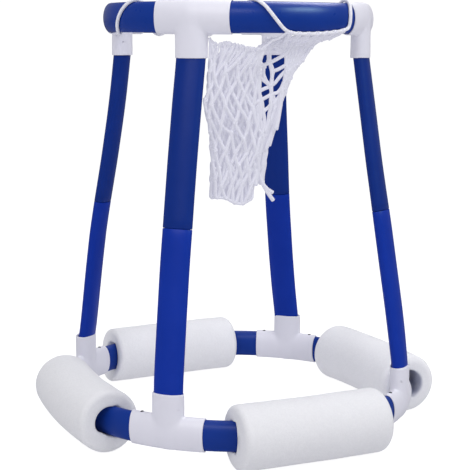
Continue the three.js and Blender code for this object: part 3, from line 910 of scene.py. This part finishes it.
def lacing_parts():
    line = cord_line()
    # two tails, tied inside the rim: they cross, and each ends hanging beside the other
    first, last = line[0], line[-1]
    down = np.array([0, 0, -1.0])
    inwards = -unit(np.array([first[0], first[1], 0]))
    tangent = unit(np.cross(UP, inwards))
    mid = (first + last) / 2 + down * 1.0 + inwards * 2.6
    tails = []
    for p, side in ((first, 1), (last, -1)):
        tails.append(
            np.array(
                [
                    mid + tangent * side * 1.6 + inwards * side * 1.2,
                    mid - tangent * side * 1.6 + down * 1.5 + inwards * side * 1.0,
                    mid - tangent * side * 3.2 + down * 3.5,
                    mid - tangent * side * 6.0 + down * 5.0,
                ]
            )
        )
    full = np.concatenate([tails[0][::-1], line, tails[1]])
    full = resample(full, 0.75)
    parts = [sweep_tube(full, CORD_R, 20, relief=braid(11.0, 8, 0.16))]
    # the turn of each tail round the other
    t = np.linspace(0, 2 * np.pi * 1.35, 30)
    c = mid + down * 0.6
    for start in (0.0, math.pi):
        loop = (
            c
            + np.cos(t + start)[:, None] * tangent * 3.3
            + np.sin(t + start)[:, None] * inwards * 3.0
            + (t - t.mean())[:, None] / (2 * np.pi) * down * 2.9
        )
        parts.append(sweep_tube(loop, CORD_R * 0.96, 16, relief=braid(11.0, 8, 0.16), step=0.75))
    v, f = joined(parts)
    return v, f


v, f = lacing_parts()
v = turn(v, RIM_TURN) + np.array([0, 0, RIM_Z])
add("lacing_cord", v, f, cord_white, "frame", ["lacing_cord"], sharp=70)

# ---- net ----------------------------------------------------------------------------------
# A tube of knotted diamond mesh. Most of it hangs in folds from a border line below the rim.
# The rest is gathered on the lacing cord and pulls to a narrow bundle, and one thickness of
# mesh is spread between the two. In this section s runs along the line of loops, y towards
# the hoop's axis, and z up from the base ring's centre line.
NET_FROM = ring(128, 9)
NET_U = np.array([0.783981, 0.620785, 0.0])
NET_V = np.array([-0.620785, 0.783981, 0.0])
NET_R = 1.85
NET_PITCH = 15.3
NET_ROWS = 9
NET_LEAN = 0.326
# the folded part's two sides at y = -5
NET_LEFT = (
    [222, 230.2, 238.3, 248.5, 263.6, 278.7, 295.7, 304.7, 314.7, 324.6, 338.5, 353.2, 368, 387.5],
    [-2.2, -3.3, -4.0, -4.4, -4.1, -3.7, -4.0, -7.1, -10.5, -10.8, -9.3, -7.7, -5.5, -5.2],
)
NET_RIGHT = (
    [221.7, 225, 230, 237, 247, 267, 281, 293, 303, 320, 360, 392],
    [39, 40.8, 42.6, 43.5, 47, 50.5, 52.7, 54.0, 53.3, 51.8, 48.6, 47.2],
)
NET_BOTTOM = (
    [-3, 0, 2.2, 7.5, 13.8, 20.1, 26.5, 31.8, 37.1, 40.8, 42.9, 45],
    [226.4, 227.4, 228.6, 230.2, 228.2, 224.9, 222.4, 221.7, 222.8, 225.7, 230.2, 238],
)
# each column of the folded part: share of the way across, y, and where its loop is
NET_COLUMNS = [
    (0.02, -11, -4), (0.14, -15, 5), (0.37, -16.5, 19), (0.60, -16.5, 31), (0.83, -15.5, 41), (0.985, -12.5, 46.5),
    (0.88, -11.5, 44), (0.72, -12, 37), (0.49, -12.5, 27), (0.26, -12, 15), (0.11, -10, 6.5),
    (0.20, -8, 11), (0.42, -8.5, 22), (0.65, -8.5, 33), (0.85, -8, 42), (0.975, -6, 45.5),
    (0.82, -4, 41), (0.58, -4, 31), (0.34, -4, 19), (0.14, -4, 9),
    (0.26, 0, 14), (0.50, 0.5, 27), (0.74, 0.5, 37), (0.97, 0, 44.5),
    (0.86, 4, 42), (0.63, 5, 35), (0.40, 5, 25), (0.18, 4, 13), (0.03, -3, 1),
]
# the gathered part: its outer side, and how wide it is inside that, down from the cord
NET_EDGE = (
    [236, 247.2, 267.5, 281.7, 293.8, 309.9, 334.0, 356.0, 370.0, 389.1, 397.2, 401.5],
    [51.5, 53.5, 55.5, 58.5, 62.0, 66.6, 75.0, 84.4, 95.6, 114.4, 129.8, 146.0],
)
NET_GATHER = (
    [236, 247.2, 267.5, 281.7, 293.8, 309.9, 334.0, 345.0, 356.0, 370.0, 389.1, 397.2, 401.5],
    [7.0, 8.0, 9.0, 9.5, 8.0, 5.6, 4.0, 4.6, 7.6, 19.0, 43.0, 58.0, 76.0],
)
NET_LANES = 7
# the strands of the single thickness between them, and of the loops above it
NET_SPREAD = [
    [(76.3, 378.0), (71.0, 373.6), (63.6, 369.1), (56.2, 365.7), (49.9, 363.2), (42.0, 359.6)],
    [(78.6, 366.1), (71.1, 361.9), (64.8, 358.4), (59.5, 356.7)],
    [(75.5, 359.7), (68.1, 352.2), (61.8, 345.3), (56.5, 341.8), (50.7, 339.4), (41.0, 334.7)],
    [(73.4, 352.2), (70.3, 343.2), (65.1, 336.3), (58.7, 334.3), (51.3, 330.4), (43.9, 327.0), (37.6, 323.6)],
    [(67.3, 332.3), (62.0, 326.3), (56.7, 321.9), (50.4, 317.5), (43.0, 311.6)],
    [(53.4, 383.9), (55.0, 375.0), (55.2, 368.1), (57.9, 362.7), (59.8, 357.4), (59.0, 351.3), (57.9, 343.3), (58.9, 336.3), (61.2, 330.3), (62.5, 318.0), (60.0, 305.0)],
    [(56.0, 381.9), (55.8, 375.0), (55.9, 368.1), (56.8, 362.2), (58.2, 356.2), (58.4, 348.3), (57.8, 342.3), (57.9, 334.4), (57.2, 327.4), (57.3, 321.4), (55.8, 314.4), (54.5, 306.4), (51.5, 297.4)],
    [(43.4, 379.9), (44.0, 370.1), (47.6, 364.2), (49.6, 360.2), (49.9, 354.3), (52.2, 348.3), (56.2, 343.3)],
    [(44.7, 358.3), (46.8, 351.3), (51.1, 347.3), (55.9, 343.3), (58.7, 336.3), (60.5, 326.0), (61.0, 313.0)],
    [(44.3, 342.4), (44.4, 336.5), (46.6, 331.5), (48.4, 325.5), (49.4, 318.5), (50.8, 310.4), (50.4, 302.4), (48.5, 293.0)],
    [(66.0, 330.0), (65.0, 322.0), (64.0, 312.0), (61.5, 301.0), (57.5, 291.0), (53.0, 280.0)],
    [(69.0, 324.0), (67.0, 315.0), (64.5, 305.0), (60.5, 294.0), (57.0, 283.0)],
    [(44.0, 356.0), (44.9, 348.0), (45.4, 338.0), (46.0, 328.0), (46.6, 320.0), (47.0, 310.0)],
    [(43.6, 328.0), (45.2, 319.5), (46.6, 311.5), (47.9, 304.0), (49.2, 297.0), (50.0, 288.0)],
    [(42.6, 322.0), (43.9, 315.0), (45.0, 309.0), (46.2, 302.5), (47.4, 294.5), (48.0, 286.0)],
]
NET_SHOULDER = [
    [(47.0, 381.8), (46.6, 378.0), (44.5, 372.0), (43.5, 364.0)],
    [(51.5, 385.0), (52.0, 380.5), (50.5, 376.5), (44.0, 371.5)],
    [(55.0, 388.0), (52.5, 382.0), (47.0, 378.0), (42.0, 375.5)],
    [(58.0, 389.0), (60.0, 383.5), (65.0, 379.0), (71.0, 376.0), (74.5, 371.0)],
    [(61.0, 389.0), (57.5, 383.5), (53.5, 378.5), (46.5, 375.8)],
    [(64.5, 389.5), (66.5, 385.0), (71.5, 380.0), (76.0, 375.0)],
    [(67.5, 389.5), (63.0, 385.0), (57.5, 380.0), (53.0, 376.8), (46.0, 376.5)],
    [(71.0, 390.0), (68.0, 383.0), (62.5, 377.8), (56.5, 375.8), (50.0, 376.0)],
    [(74.5, 388.0), (73.5, 380.5), (68.0, 376.5), (60.0, 376.2), (54.0, 377.0)],
    [(46.0, 378.5), (51.0, 379.5), (58.0, 377.0), (66.0, 376.3), (73.0, 378.0)],
    [(52.5, 384.0), (58.0, 385.0), (65.0, 387.5), (73.0, 389.5)],
    [(50.0, 382.0), (60.0, 381.5), (68.0, 383.5), (76.0, 385.5)],
]


def net_world(q):
    q = np.asarray(q, float)
    return (
        NET_FROM
        + q[..., :1] * NET_U
        + q[..., 1:2] * NET_V
        + (q[..., 2:3] + BASE_Z) * UP
    )


NET_PHI = np.linspace(39.4, 68.6, 80)
NET_ON = turn(cord_on(NET_PHI, np.interp(NET_PHI, CORD_UNDER[0], CORD_UNDER[1]), CORD_R + 0.12 + CORD_SLACK), RIM_TURN)
NET_CORD = np.stack([(NET_ON - NET_FROM) @ NET_U, (NET_ON - NET_FROM) @ NET_V, NET_ON[:, 2] + RIM_Z - BASE_Z], -1)


def net_line(s):
    """The line that the loops hang from: the border line's sag, then the lacing cord."""
    s = np.asarray(s, float)
    c = NET_CORD
    at = [-5.4, -0.9, 3.2, 10.5, 18.8, 27.2, 33.5, 43, 47.2, 50.3, 53.5, 58.8, c[0, 0] - 2, c[0, 0]]
    sag = [389.3, 385.0, 382.5, 384.8, 383.0, 381.0, 379.2, 378.6, 381.3, 384.6, 387.2, 389.0, c[0, 2] - 1.2, c[0, 2]]
    before = s < c[0, 0]
    z = np.where(before, np.interp(s, at, sag), np.interp(s, c[:, 0], c[:, 2]))
    y = np.where(before, np.interp(s, [-5.4, c[0, 0]], [-6.0, c[0, 1]]), np.interp(s, c[:, 0], c[:, 1]))
    return np.stack([s, y, z], -1)


def net_at(w, y, z):
    """A place in the folded part, by its share of the way across."""
    lo, hi = np.interp(z, *NET_LEFT) + NET_R, np.interp(z, *NET_RIGHT) - NET_R
    return np.stack([lo + w * (hi - lo) + NET_LEAN * (y + 5), y, z], -1)


def net_column(w, y, pin):
    """The line that a column hangs along, and how far each of its points is from the loop."""
    top = net_line(pin)
    z = np.linspace(float(top[2]), 222, 70)
    t = np.clip((float(top[2]) - z) / 34, 0, 1)
    t = t * t * (3 - 2 * t)
    yy = top[1] + (y - top[1]) * t
    deep = np.interp(z, [222, 250, 300, 345], [0.86, 0.93, 1.0, 1.0])
    hung = net_at(w, yy * deep, z)
    s = top[0] + (hung[:, 0] - top[0]) * t
    line = np.stack([s, yy * deep, z], -1)
    far = np.concatenate([[0], np.cumsum(np.linalg.norm(np.diff(line, axis=0), axis=1))])
    return line, far


def net_lane(u, back):
    """The same for the gathered part; u is 0 at its inner side and 1 at its outer side."""
    c = NET_CORD
    top = net_line(c[0, 0] + 1.0 + u * (c[-1, 0] - c[0, 0] - 2.5) + (2.6 if back else 0))
    z = np.linspace(float(top[2]), 240, 90)
    s = np.interp(z, *NET_EDGE) - NET_R - (1 - u) * np.interp(z, *NET_GATHER)
    t = np.clip((float(top[2]) - z) / 12, 0, 1)
    t = t * t * (3 - 2 * t)
    y1 = np.interp(z, [240, 300, 356, 400], [-4, -4, -2, 0] if back else [-9, -11, -12, -9])
    y1 = y1 + (u - 0.5) * (6 if back else 4)
    y = top[1] + (y1 - top[1]) * t
    s = s + NET_LEAN * (y + 9)
    s = top[0] + (s - top[0]) * t
    line = np.stack([s, y, z], -1)
    far = np.concatenate([[0], np.cumsum(np.linalg.norm(np.diff(line, axis=0), axis=1))])
    return line, far


def net_along(hung, at):
    line, far = hung
    return np.array([np.interp(at, far, line[:, k]) for k in range(3)])


def net_strand(a, b, rng, bow=0.6):
    """The points between two knots, with a little slack."""
    side = rng.normal(0, bow, 3) * np.array([1, 1, 0.3])
    return [a + (b - a) * t + side * math.sin(math.pi * t) for t in (0.25, 0.5, 0.75)]


def net_ply(pitch, depth=0.07):
    return lambda angle, s: depth * (np.abs(np.sin(1.5 * (angle + 2 * np.pi * s / pitch))) - 0.6)


def net_twine(path, tops=()):
    """One thread. It's drawn tight, so thinner, where it turns round the line at its loops."""
    q = resample(np.array(path), 1.2)
    r = np.full(len(q), NET_R)
    for top in tops:
        far = np.clip((np.linalg.norm(q - top, axis=1) - 2.5) / 6, 0, 1)
        r = np.minimum(r, 1.15 + (NET_R - 1.15) * far * far * (3 - 2 * far))
    return sweep_tube(net_world(q), r, 10, relief=net_ply(6.5))


def net_loop(top, hold):
    tangent = unit(net_line(top[0] + 1) - net_line(top[0] - 1))
    across = unit(np.cross(UP, tangent))
    return [
        top - across * hold * 0.8 - tangent * 0.8 - UP * hold * 0.9,
        top - across * hold - tangent * 0.4 + UP * 0.3,
        top - across * hold * 0.6 + UP * hold * 0.75,
        top + across * hold * 0.6 + UP * hold * 0.75,
        top + across * hold + tangent * 0.4 + UP * 0.3,
        top + across * hold * 0.8 + tangent * 0.8 - UP * hold * 0.9,
    ]


def net_knot(c, nn, spin, size):
    t = np.linspace(0, 2 * np.pi, 28)
    side = unit(np.cross(nn, [0, 0, 1.0]))
    top = np.cross(side, nn)
    x = (2 + np.cos(3 * t)) * np.cos(2 * t + spin) * 0.60 * size
    y = (2 + np.cos(3 * t)) * np.sin(2 * t + spin) * 0.78 * size
    z = np.sin(3 * t) * 1.3 * size
    return sweep_tube(net_world(c + x[:, None] * side + y[:, None] * top + z[:, None] * nn), 1.15, 8)


def net_folds(rng):
    n, m = len(NET_COLUMNS), NET_ROWS
    hung = [net_column(*c) for c in NET_COLUMNS]
    knots = {}
    for j in range(m + 1):
        for i in range(n):
            at = j * NET_PITCH * (1.0 + 0.012 * math.sin(1.7 * i))
            p = net_along(hung[i], at)
            if j % 2:
                p = (p + net_along(hung[(i + 1) % n], at)) / 2
            if j:
                wave = np.array([math.sin(1.3 * i + 0.9 * j), math.sin(0.8 * i - 1.1 * j + 2), math.sin(2.1 * i + 1.7 * j)])
                p = p + wave * [1.2, 1.1, 1.9] + rng.normal(0, 0.7, 3)
            knots[i, j] = p
    ends = []
    for k in range(n):
        w, y, _ = NET_COLUMNS[k]
        p = net_at(w, y * 0.84, 236.0)
        s5 = p[0] - NET_LEAN * (y * 0.84 + 5)
        p[2] = np.interp(s5, *NET_BOTTOM) + NET_R + (0.0 if y < -12 else 1.0 + rng.uniform(0, 2.5))
        q = net_at(w, y * 0.84, float(p[2]))
        ends.append(np.array([q[0], q[1], p[2]]))

    def normal(i, j):
        d = knots[(i + 1) % n, j] - knots[(i - 1) % n, j]
        v = np.cross(d, [0.0, 0.0, -1.0])
        return unit(v) if np.linalg.norm(v) > 1e-6 else np.array([0, -1.0, 0])

    parts = []
    for i in range(n):
        down = {"l": [], "r": []}
        for side in "lr":
            at, here = i, knots[i, 0]
            for j in range(m):
                if side == "r":
                    nxt = at if j % 2 == 0 else (at + 1) % n
                else:
                    nxt = (at - 1) % n if j % 2 == 0 else at
                lift = 0.8 * (1 if (j % 2 == 0) == (side == "r") else -1)
                there = knots[nxt, j + 1] + normal(nxt, j + 1) * lift
                down[side] += net_strand(here, there, rng) + [there]
                at, here = nxt, there
            # the two families meet in a turn at the bottom
            if side == "r":
                k = (at + 1) % n
                e = ends[k]
                down[side] += net_strand(here, e + np.array([-1.7, 0, 1.6]), rng, 0.4)
                down[side] += [e + np.array([-1.7, 0, 1.6]), e]
            else:
                k = at
                e = ends[k]
                down[side] += net_strand(here, e + np.array([1.7, 0, 1.6]), rng, 0.4)
                down[side] += [e + np.array([1.7, 0, 1.6]), e]
        path = down["l"][::-1] + net_loop(knots[i, 0], 1.5) + down["r"]
        parts.append(net_twine(path, [knots[i, 0]]))
    for (i, j), c in knots.items():
        if j:
            parts.append(net_knot(c, normal(i, j), rng.uniform(0, 2 * np.pi), rng.uniform(0.9, 1.08)))
    # a line runs through the turns and closes the bottom
    hem = np.array([*ends, ends[0]]) + np.array([0, 0, 0.3])
    parts.append(sweep_tube(net_world(resample(hem, 1.2)), 1.5, 10, relief=net_ply(4.5)))
    return parts


def net_gathered(rng):
    parts = []
    n = NET_LANES
    for back in (False, True):
        knots = {}
        for j in range(0, 11):
            for i in range(n):
                u = (i + (0.5 if j % 2 else 0)) / (n - 0.5)
                hung = net_lane(u, back)
                at = j * NET_PITCH * (hung[1][-1] / (10.2 * NET_PITCH)) if j else 0.0
                p = net_along(hung, at)
                if j:
                    p = p + rng.normal(0, 0.4, 3)
                knots[i, j] = (p, u)
        for i in range(n):
            for side in (-1, 1):
                q = []
                at = i
                here, u0 = knots[i, 0]
                last = here
                for j in range(10):
                    if side > 0:
                        nxt = at if j % 2 == 0 else at + 1
                    else:
                        nxt = at - 1 if j % 2 == 0 else at
                    nxt = min(max(nxt, 0), n - 1)
                    there = knots[nxt, j + 1][0]
                    lift = 0.8 * (1 if (j % 2 == 0) == (side > 0) else -1)
                    there = there + np.array([0, -lift, 0])
                    # it follows the gathered part's curve between its knots
                    if j == 0 or np.linalg.norm(there - last) > 0:
                        u1 = knots[nxt, j + 1][1]
                        mids = []
                        for t in (0.25, 0.5, 0.75):
                            hung = net_lane(u0 + (u1 - u0) * t, back)
                            f0 = j / 10.2 * hung[1][-1]
                            f1 = (j + 1) / 10.2 * hung[1][-1]
                            mids.append(net_along(hung, f0 + (f1 - f0) * t) + rng.normal(0, 0.15, 3))
                        q += mids + [there]
                        last, u0 = there, u1
                    at = nxt
                start = knots[i, 0][0]
                head = net_loop(start, 1.5)
                path = (head[:4][::-1] if side < 0 else head[2:]) + q
                parts.append(net_twine(path, [start]))
        for (i, j), (c, u) in knots.items():
            if 0 < j < 9:
                parts.append(net_knot(c, np.array([0.2, -1.0, 0.0]) / 1.02, rng.uniform(0, 6.28), 0.85))
    return parts


def net_spread(rng):
    parts = []
    for k, route in enumerate(NET_SPREAD):
        q = np.array([(s, -14 + 0.7 * (k % 3), z) for s, z in route], float)
        parts.append(net_twine(q + rng.normal(0, 0.12, q.shape)))
    for c in ((54.9, 367.0), (59.3, 357.0), (57.0, 342.6), (58.6, 334.4), (56.8, 321.8), (50.0, 361.8), (50.2, 317.6)):
        parts.append(net_knot(np.array([c[0], -13.6, c[1]]), np.array([0.0, -1.0, 0.0]), rng.uniform(0, 6.28), 0.9))
    for layer, (y, shift) in enumerate(((-13.0, 0.0), (-7.0, 1.9), (1.0, -1.2))):
        for k, route in enumerate(NET_SHOULDER):
            q = np.array([(s + shift + NET_LEAN * (y + 14), y + 0.8 * (k % 3), z) for s, z in route], float)
            parts.append(net_twine(q + rng.normal(0, 0.3, q.shape)))
    return parts


def net_parts():
    rng = np.random.default_rng(5)
    parts = net_folds(rng) + net_gathered(rng) + net_spread(rng)
    # the border line, and the loose ends of the twine
    line = net_line(np.linspace(-5.0, NET_CORD[0, 0] + 1, 30))
    parts.append(sweep_tube(net_world(line), 1.2, 10, relief=net_ply(4.5), step=1.0))
    for r, route in (
        (2.0, [(45, -8, 262), (48, -8.5, 252), (51.5, -9.5, 243.5), (56.0, -10, 238.0), (62.0, -10, 234.2)]),
        (2.05, [(46.5, -7, 260), (49, -8, 250), (52.5, -9.2, 241.5), (57.3, -10, 233.5), (62.6, -10, 226.2)]),
        (2.3, [(69.6, -14.5, 340), (67.4, -15.5, 326), (65.0, -16.2, 312), (62.4, -16.8, 299.0)]),
    ):
        parts.append(sweep_tube(net_world(np.array(route, float)), r, 14, relief=net_ply(6.5), step=1.0, blunt=0.35))
    return joined(parts)


v, f = net_parts()
net = add("net", v, f, twine, None, ["net"], sharp=0)
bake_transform(net)

# ---- camera -------------------------------------------------------------------------------
THETA = rad(20.319)


def camera():
    yaw, pitch, roll = -0.001, 0.159, 0.006
    pos = np.array([0.0, -1.372859, 0.391663 + BASE_Z * 0.001])
    forward = np.array(
        [math.sin(yaw) * math.cos(pitch), math.cos(yaw) * math.cos(pitch), -math.sin(pitch)]
    )
    rt = np.array([math.cos(yaw), -math.sin(yaw), 0.0])
    up = np.cross(rt, forward)
    right = rt * math.cos(roll) + up * math.sin(roll)
    top = -rt * math.sin(roll) + up * math.cos(roll)
    c, s = math.cos(THETA), math.sin(THETA)
    turned = np.array([[c, -s, 0], [s, c, 0], [0, 0, 1]])
    pos, forward, right, top = (turned @ q for q in (pos, forward, right, top))
    data = bpy.data.cameras.new("camera")
    data.sensor_width = 36.0
    data.lens = 1241.522 / 470 * 36
    data.clip_start, data.clip_end = 0.05, 60
    cam = bpy.data.objects.new("camera", data)
    cam.matrix_world = Matrix(
        [
            [right[0], top[0], -forward[0], pos[0]],
            [right[1], top[1], -forward[1], pos[1]],
            [right[2], top[2], -forward[2], pos[2]],
            [0, 0, 0, 1],
        ]
    )
    bpy.context.scene.collection.objects.link(cam)
    bpy.context.scene.camera = cam


camera()

# ---- floor, surroundings and lights -------------------------------------------------------


def studio():
    scene = bpy.context.scene
    scene.view_settings.view_transform = "Standard"
    mesh = bpy.data.meshes.new("floor")
    s = 14.0
    mesh.from_pydata([(-s, -s, 0), (s, -s, 0), (s, s, 0), (-s, s, 0)], [], [(0, 1, 2, 3)])
    floor = bpy.data.objects.new("floor", mesh)
    floor.location.z = -0.0004
    scene.collection.objects.link(floor)
    mat = bpy.data.materials.new("floor")
    mat.use_nodes = True
    t = mat.node_tree
    t.nodes.clear()
    out = t.nodes.new("ShaderNodeOutputMaterial")
    path = t.nodes.new("ShaderNodeLightPath")
    seen = t.nodes.new("ShaderNodeAddShader")
    glow = t.nodes.new("ShaderNodeEmission")
    glow.inputs["Color"].default_value = (1, 1, 1, 1)
    glow.inputs["Strength"].default_value = 0.84
    pale = t.nodes.new("ShaderNodeBsdfDiffuse")
    pale.inputs["Color"].default_value = (0.36, 0.36, 0.365, 1)
    dim = t.nodes.new("ShaderNodeBsdfDiffuse")
    dim.inputs["Color"].default_value = (0.42, 0.42, 0.44, 1)
    lift = t.nodes.new("ShaderNodeEmission")
    lift.inputs["Color"].default_value = (0.985, 0.985, 1, 1)
    lift.inputs["Strength"].default_value = 0.385
    grey = t.nodes.new("ShaderNodeBsdfDiffuse")
    grey.inputs["Color"].default_value = (0.30, 0.30, 0.31, 1)
    both = t.nodes.new("ShaderNodeAddShader")
    t.links.new(lift.outputs[0], both.inputs[0])
    t.links.new(dim.outputs[0], both.inputs[1])
    under = t.nodes.new("ShaderNodeMixShader")
    t.links.new(path.outputs["Is Glossy Ray"], under.inputs["Fac"])
    t.links.new(both.outputs[0], under.inputs[1])
    t.links.new(grey.outputs[0], under.inputs[2])
    mix = t.nodes.new("ShaderNodeMixShader")
    t.links.new(glow.outputs[0], seen.inputs[0])
    t.links.new(pale.outputs[0], seen.inputs[1])
    t.links.new(path.outputs["Is Camera Ray"], mix.inputs["Fac"])
    t.links.new(under.outputs[0], mix.inputs[1])
    t.links.new(seen.outputs[0], mix.inputs[2])
    t.links.new(mix.outputs[0], out.inputs["Surface"])
    mesh.materials.append(mat)

    world = bpy.data.worlds.new("studio")
    scene.world = world
    world.use_nodes = True
    w = world.node_tree
    w.nodes.clear()
    out = w.nodes.new("ShaderNodeOutputWorld")
    path = w.nodes.new("ShaderNodeLightPath")
    white = w.nodes.new("ShaderNodeBackground")
    white.inputs["Color"].default_value = (1, 1, 1, 1)
    white.inputs["Strength"].default_value = 1.05
    soft = w.nodes.new("ShaderNodeBackground")
    soft.inputs["Color"].default_value = (0.965, 0.97, 1.0, 1)
    soft.inputs["Strength"].default_value = 0.55
    dull = w.nodes.new("ShaderNodeBackground")
    dull.inputs["Color"].default_value = (0.965, 0.97, 1.0, 1)
    dull.inputs["Strength"].default_value = 0.32
    either = w.nodes.new("ShaderNodeMixShader")
    w.links.new(path.outputs["Is Glossy Ray"], either.inputs["Fac"])
    w.links.new(soft.outputs[0], either.inputs[1])
    w.links.new(dull.outputs[0], either.inputs[2])
    mix = w.nodes.new("ShaderNodeMixShader")
    w.links.new(path.outputs["Is Camera Ray"], mix.inputs["Fac"])
    w.links.new(either.outputs[0], mix.inputs[1])
    w.links.new(white.outputs[0], mix.inputs[2])
    w.links.new(mix.outputs[0], out.inputs["Surface"])

    def softbox(name, azimuth, elevation, distance, size, power, aim=(0, 0, 0.24), gloss=True, matt=True, tint=(1.0, 0.99, 0.985)):
        """azimuth is to the right of the camera's direction from the object, in degrees."""
        data = bpy.data.lights.new(name, "AREA")
        data.shape = "RECTANGLE"
        data.size, data.size_y = size
        data.energy = power
        data.color = tint
        light = bpy.data.objects.new(name, data)
        a = THETA + rad(azimuth)
        e = rad(elevation)
        d = Vector((math.sin(a) * math.cos(e), -math.cos(a) * math.cos(e), math.sin(e)))
        light.location = Vector(aim) + d * distance
        light.rotation_mode = "QUATERNION"
        light.rotation_quaternion = (-d).to_track_quat("-Z", "Y")
        light.visible_glossy = gloss
        light.visible_diffuse = matt
        scene.collection.objects.link(light)

    softbox("key_left", -32, 32, 2.2, (0.75, 0.9), 8.3)
    softbox("side_right", 62, 43, 2.0, (1.0, 0.8), 10.3, gloss=False)
    softbox("overhead", 10, 84, 1.9, (2.0, 2.0), 14.5)
    softbox("glint_right", 61, 29, 4.0, (2.0, 1.0), 124, aim=(0, 0, 0.45), matt=False, tint=(0.66, 1.0, 1.0))
    softbox("glint_front", -6, 27, 4.0, (2.6, 0.9), 36, aim=(0, 0, 0.3), matt=False)
    softbox("glint_behind", 125, 60, 2.0, (1.6, 1.3), 78, aim=(0, 0, 0.45), matt=False)


studio()
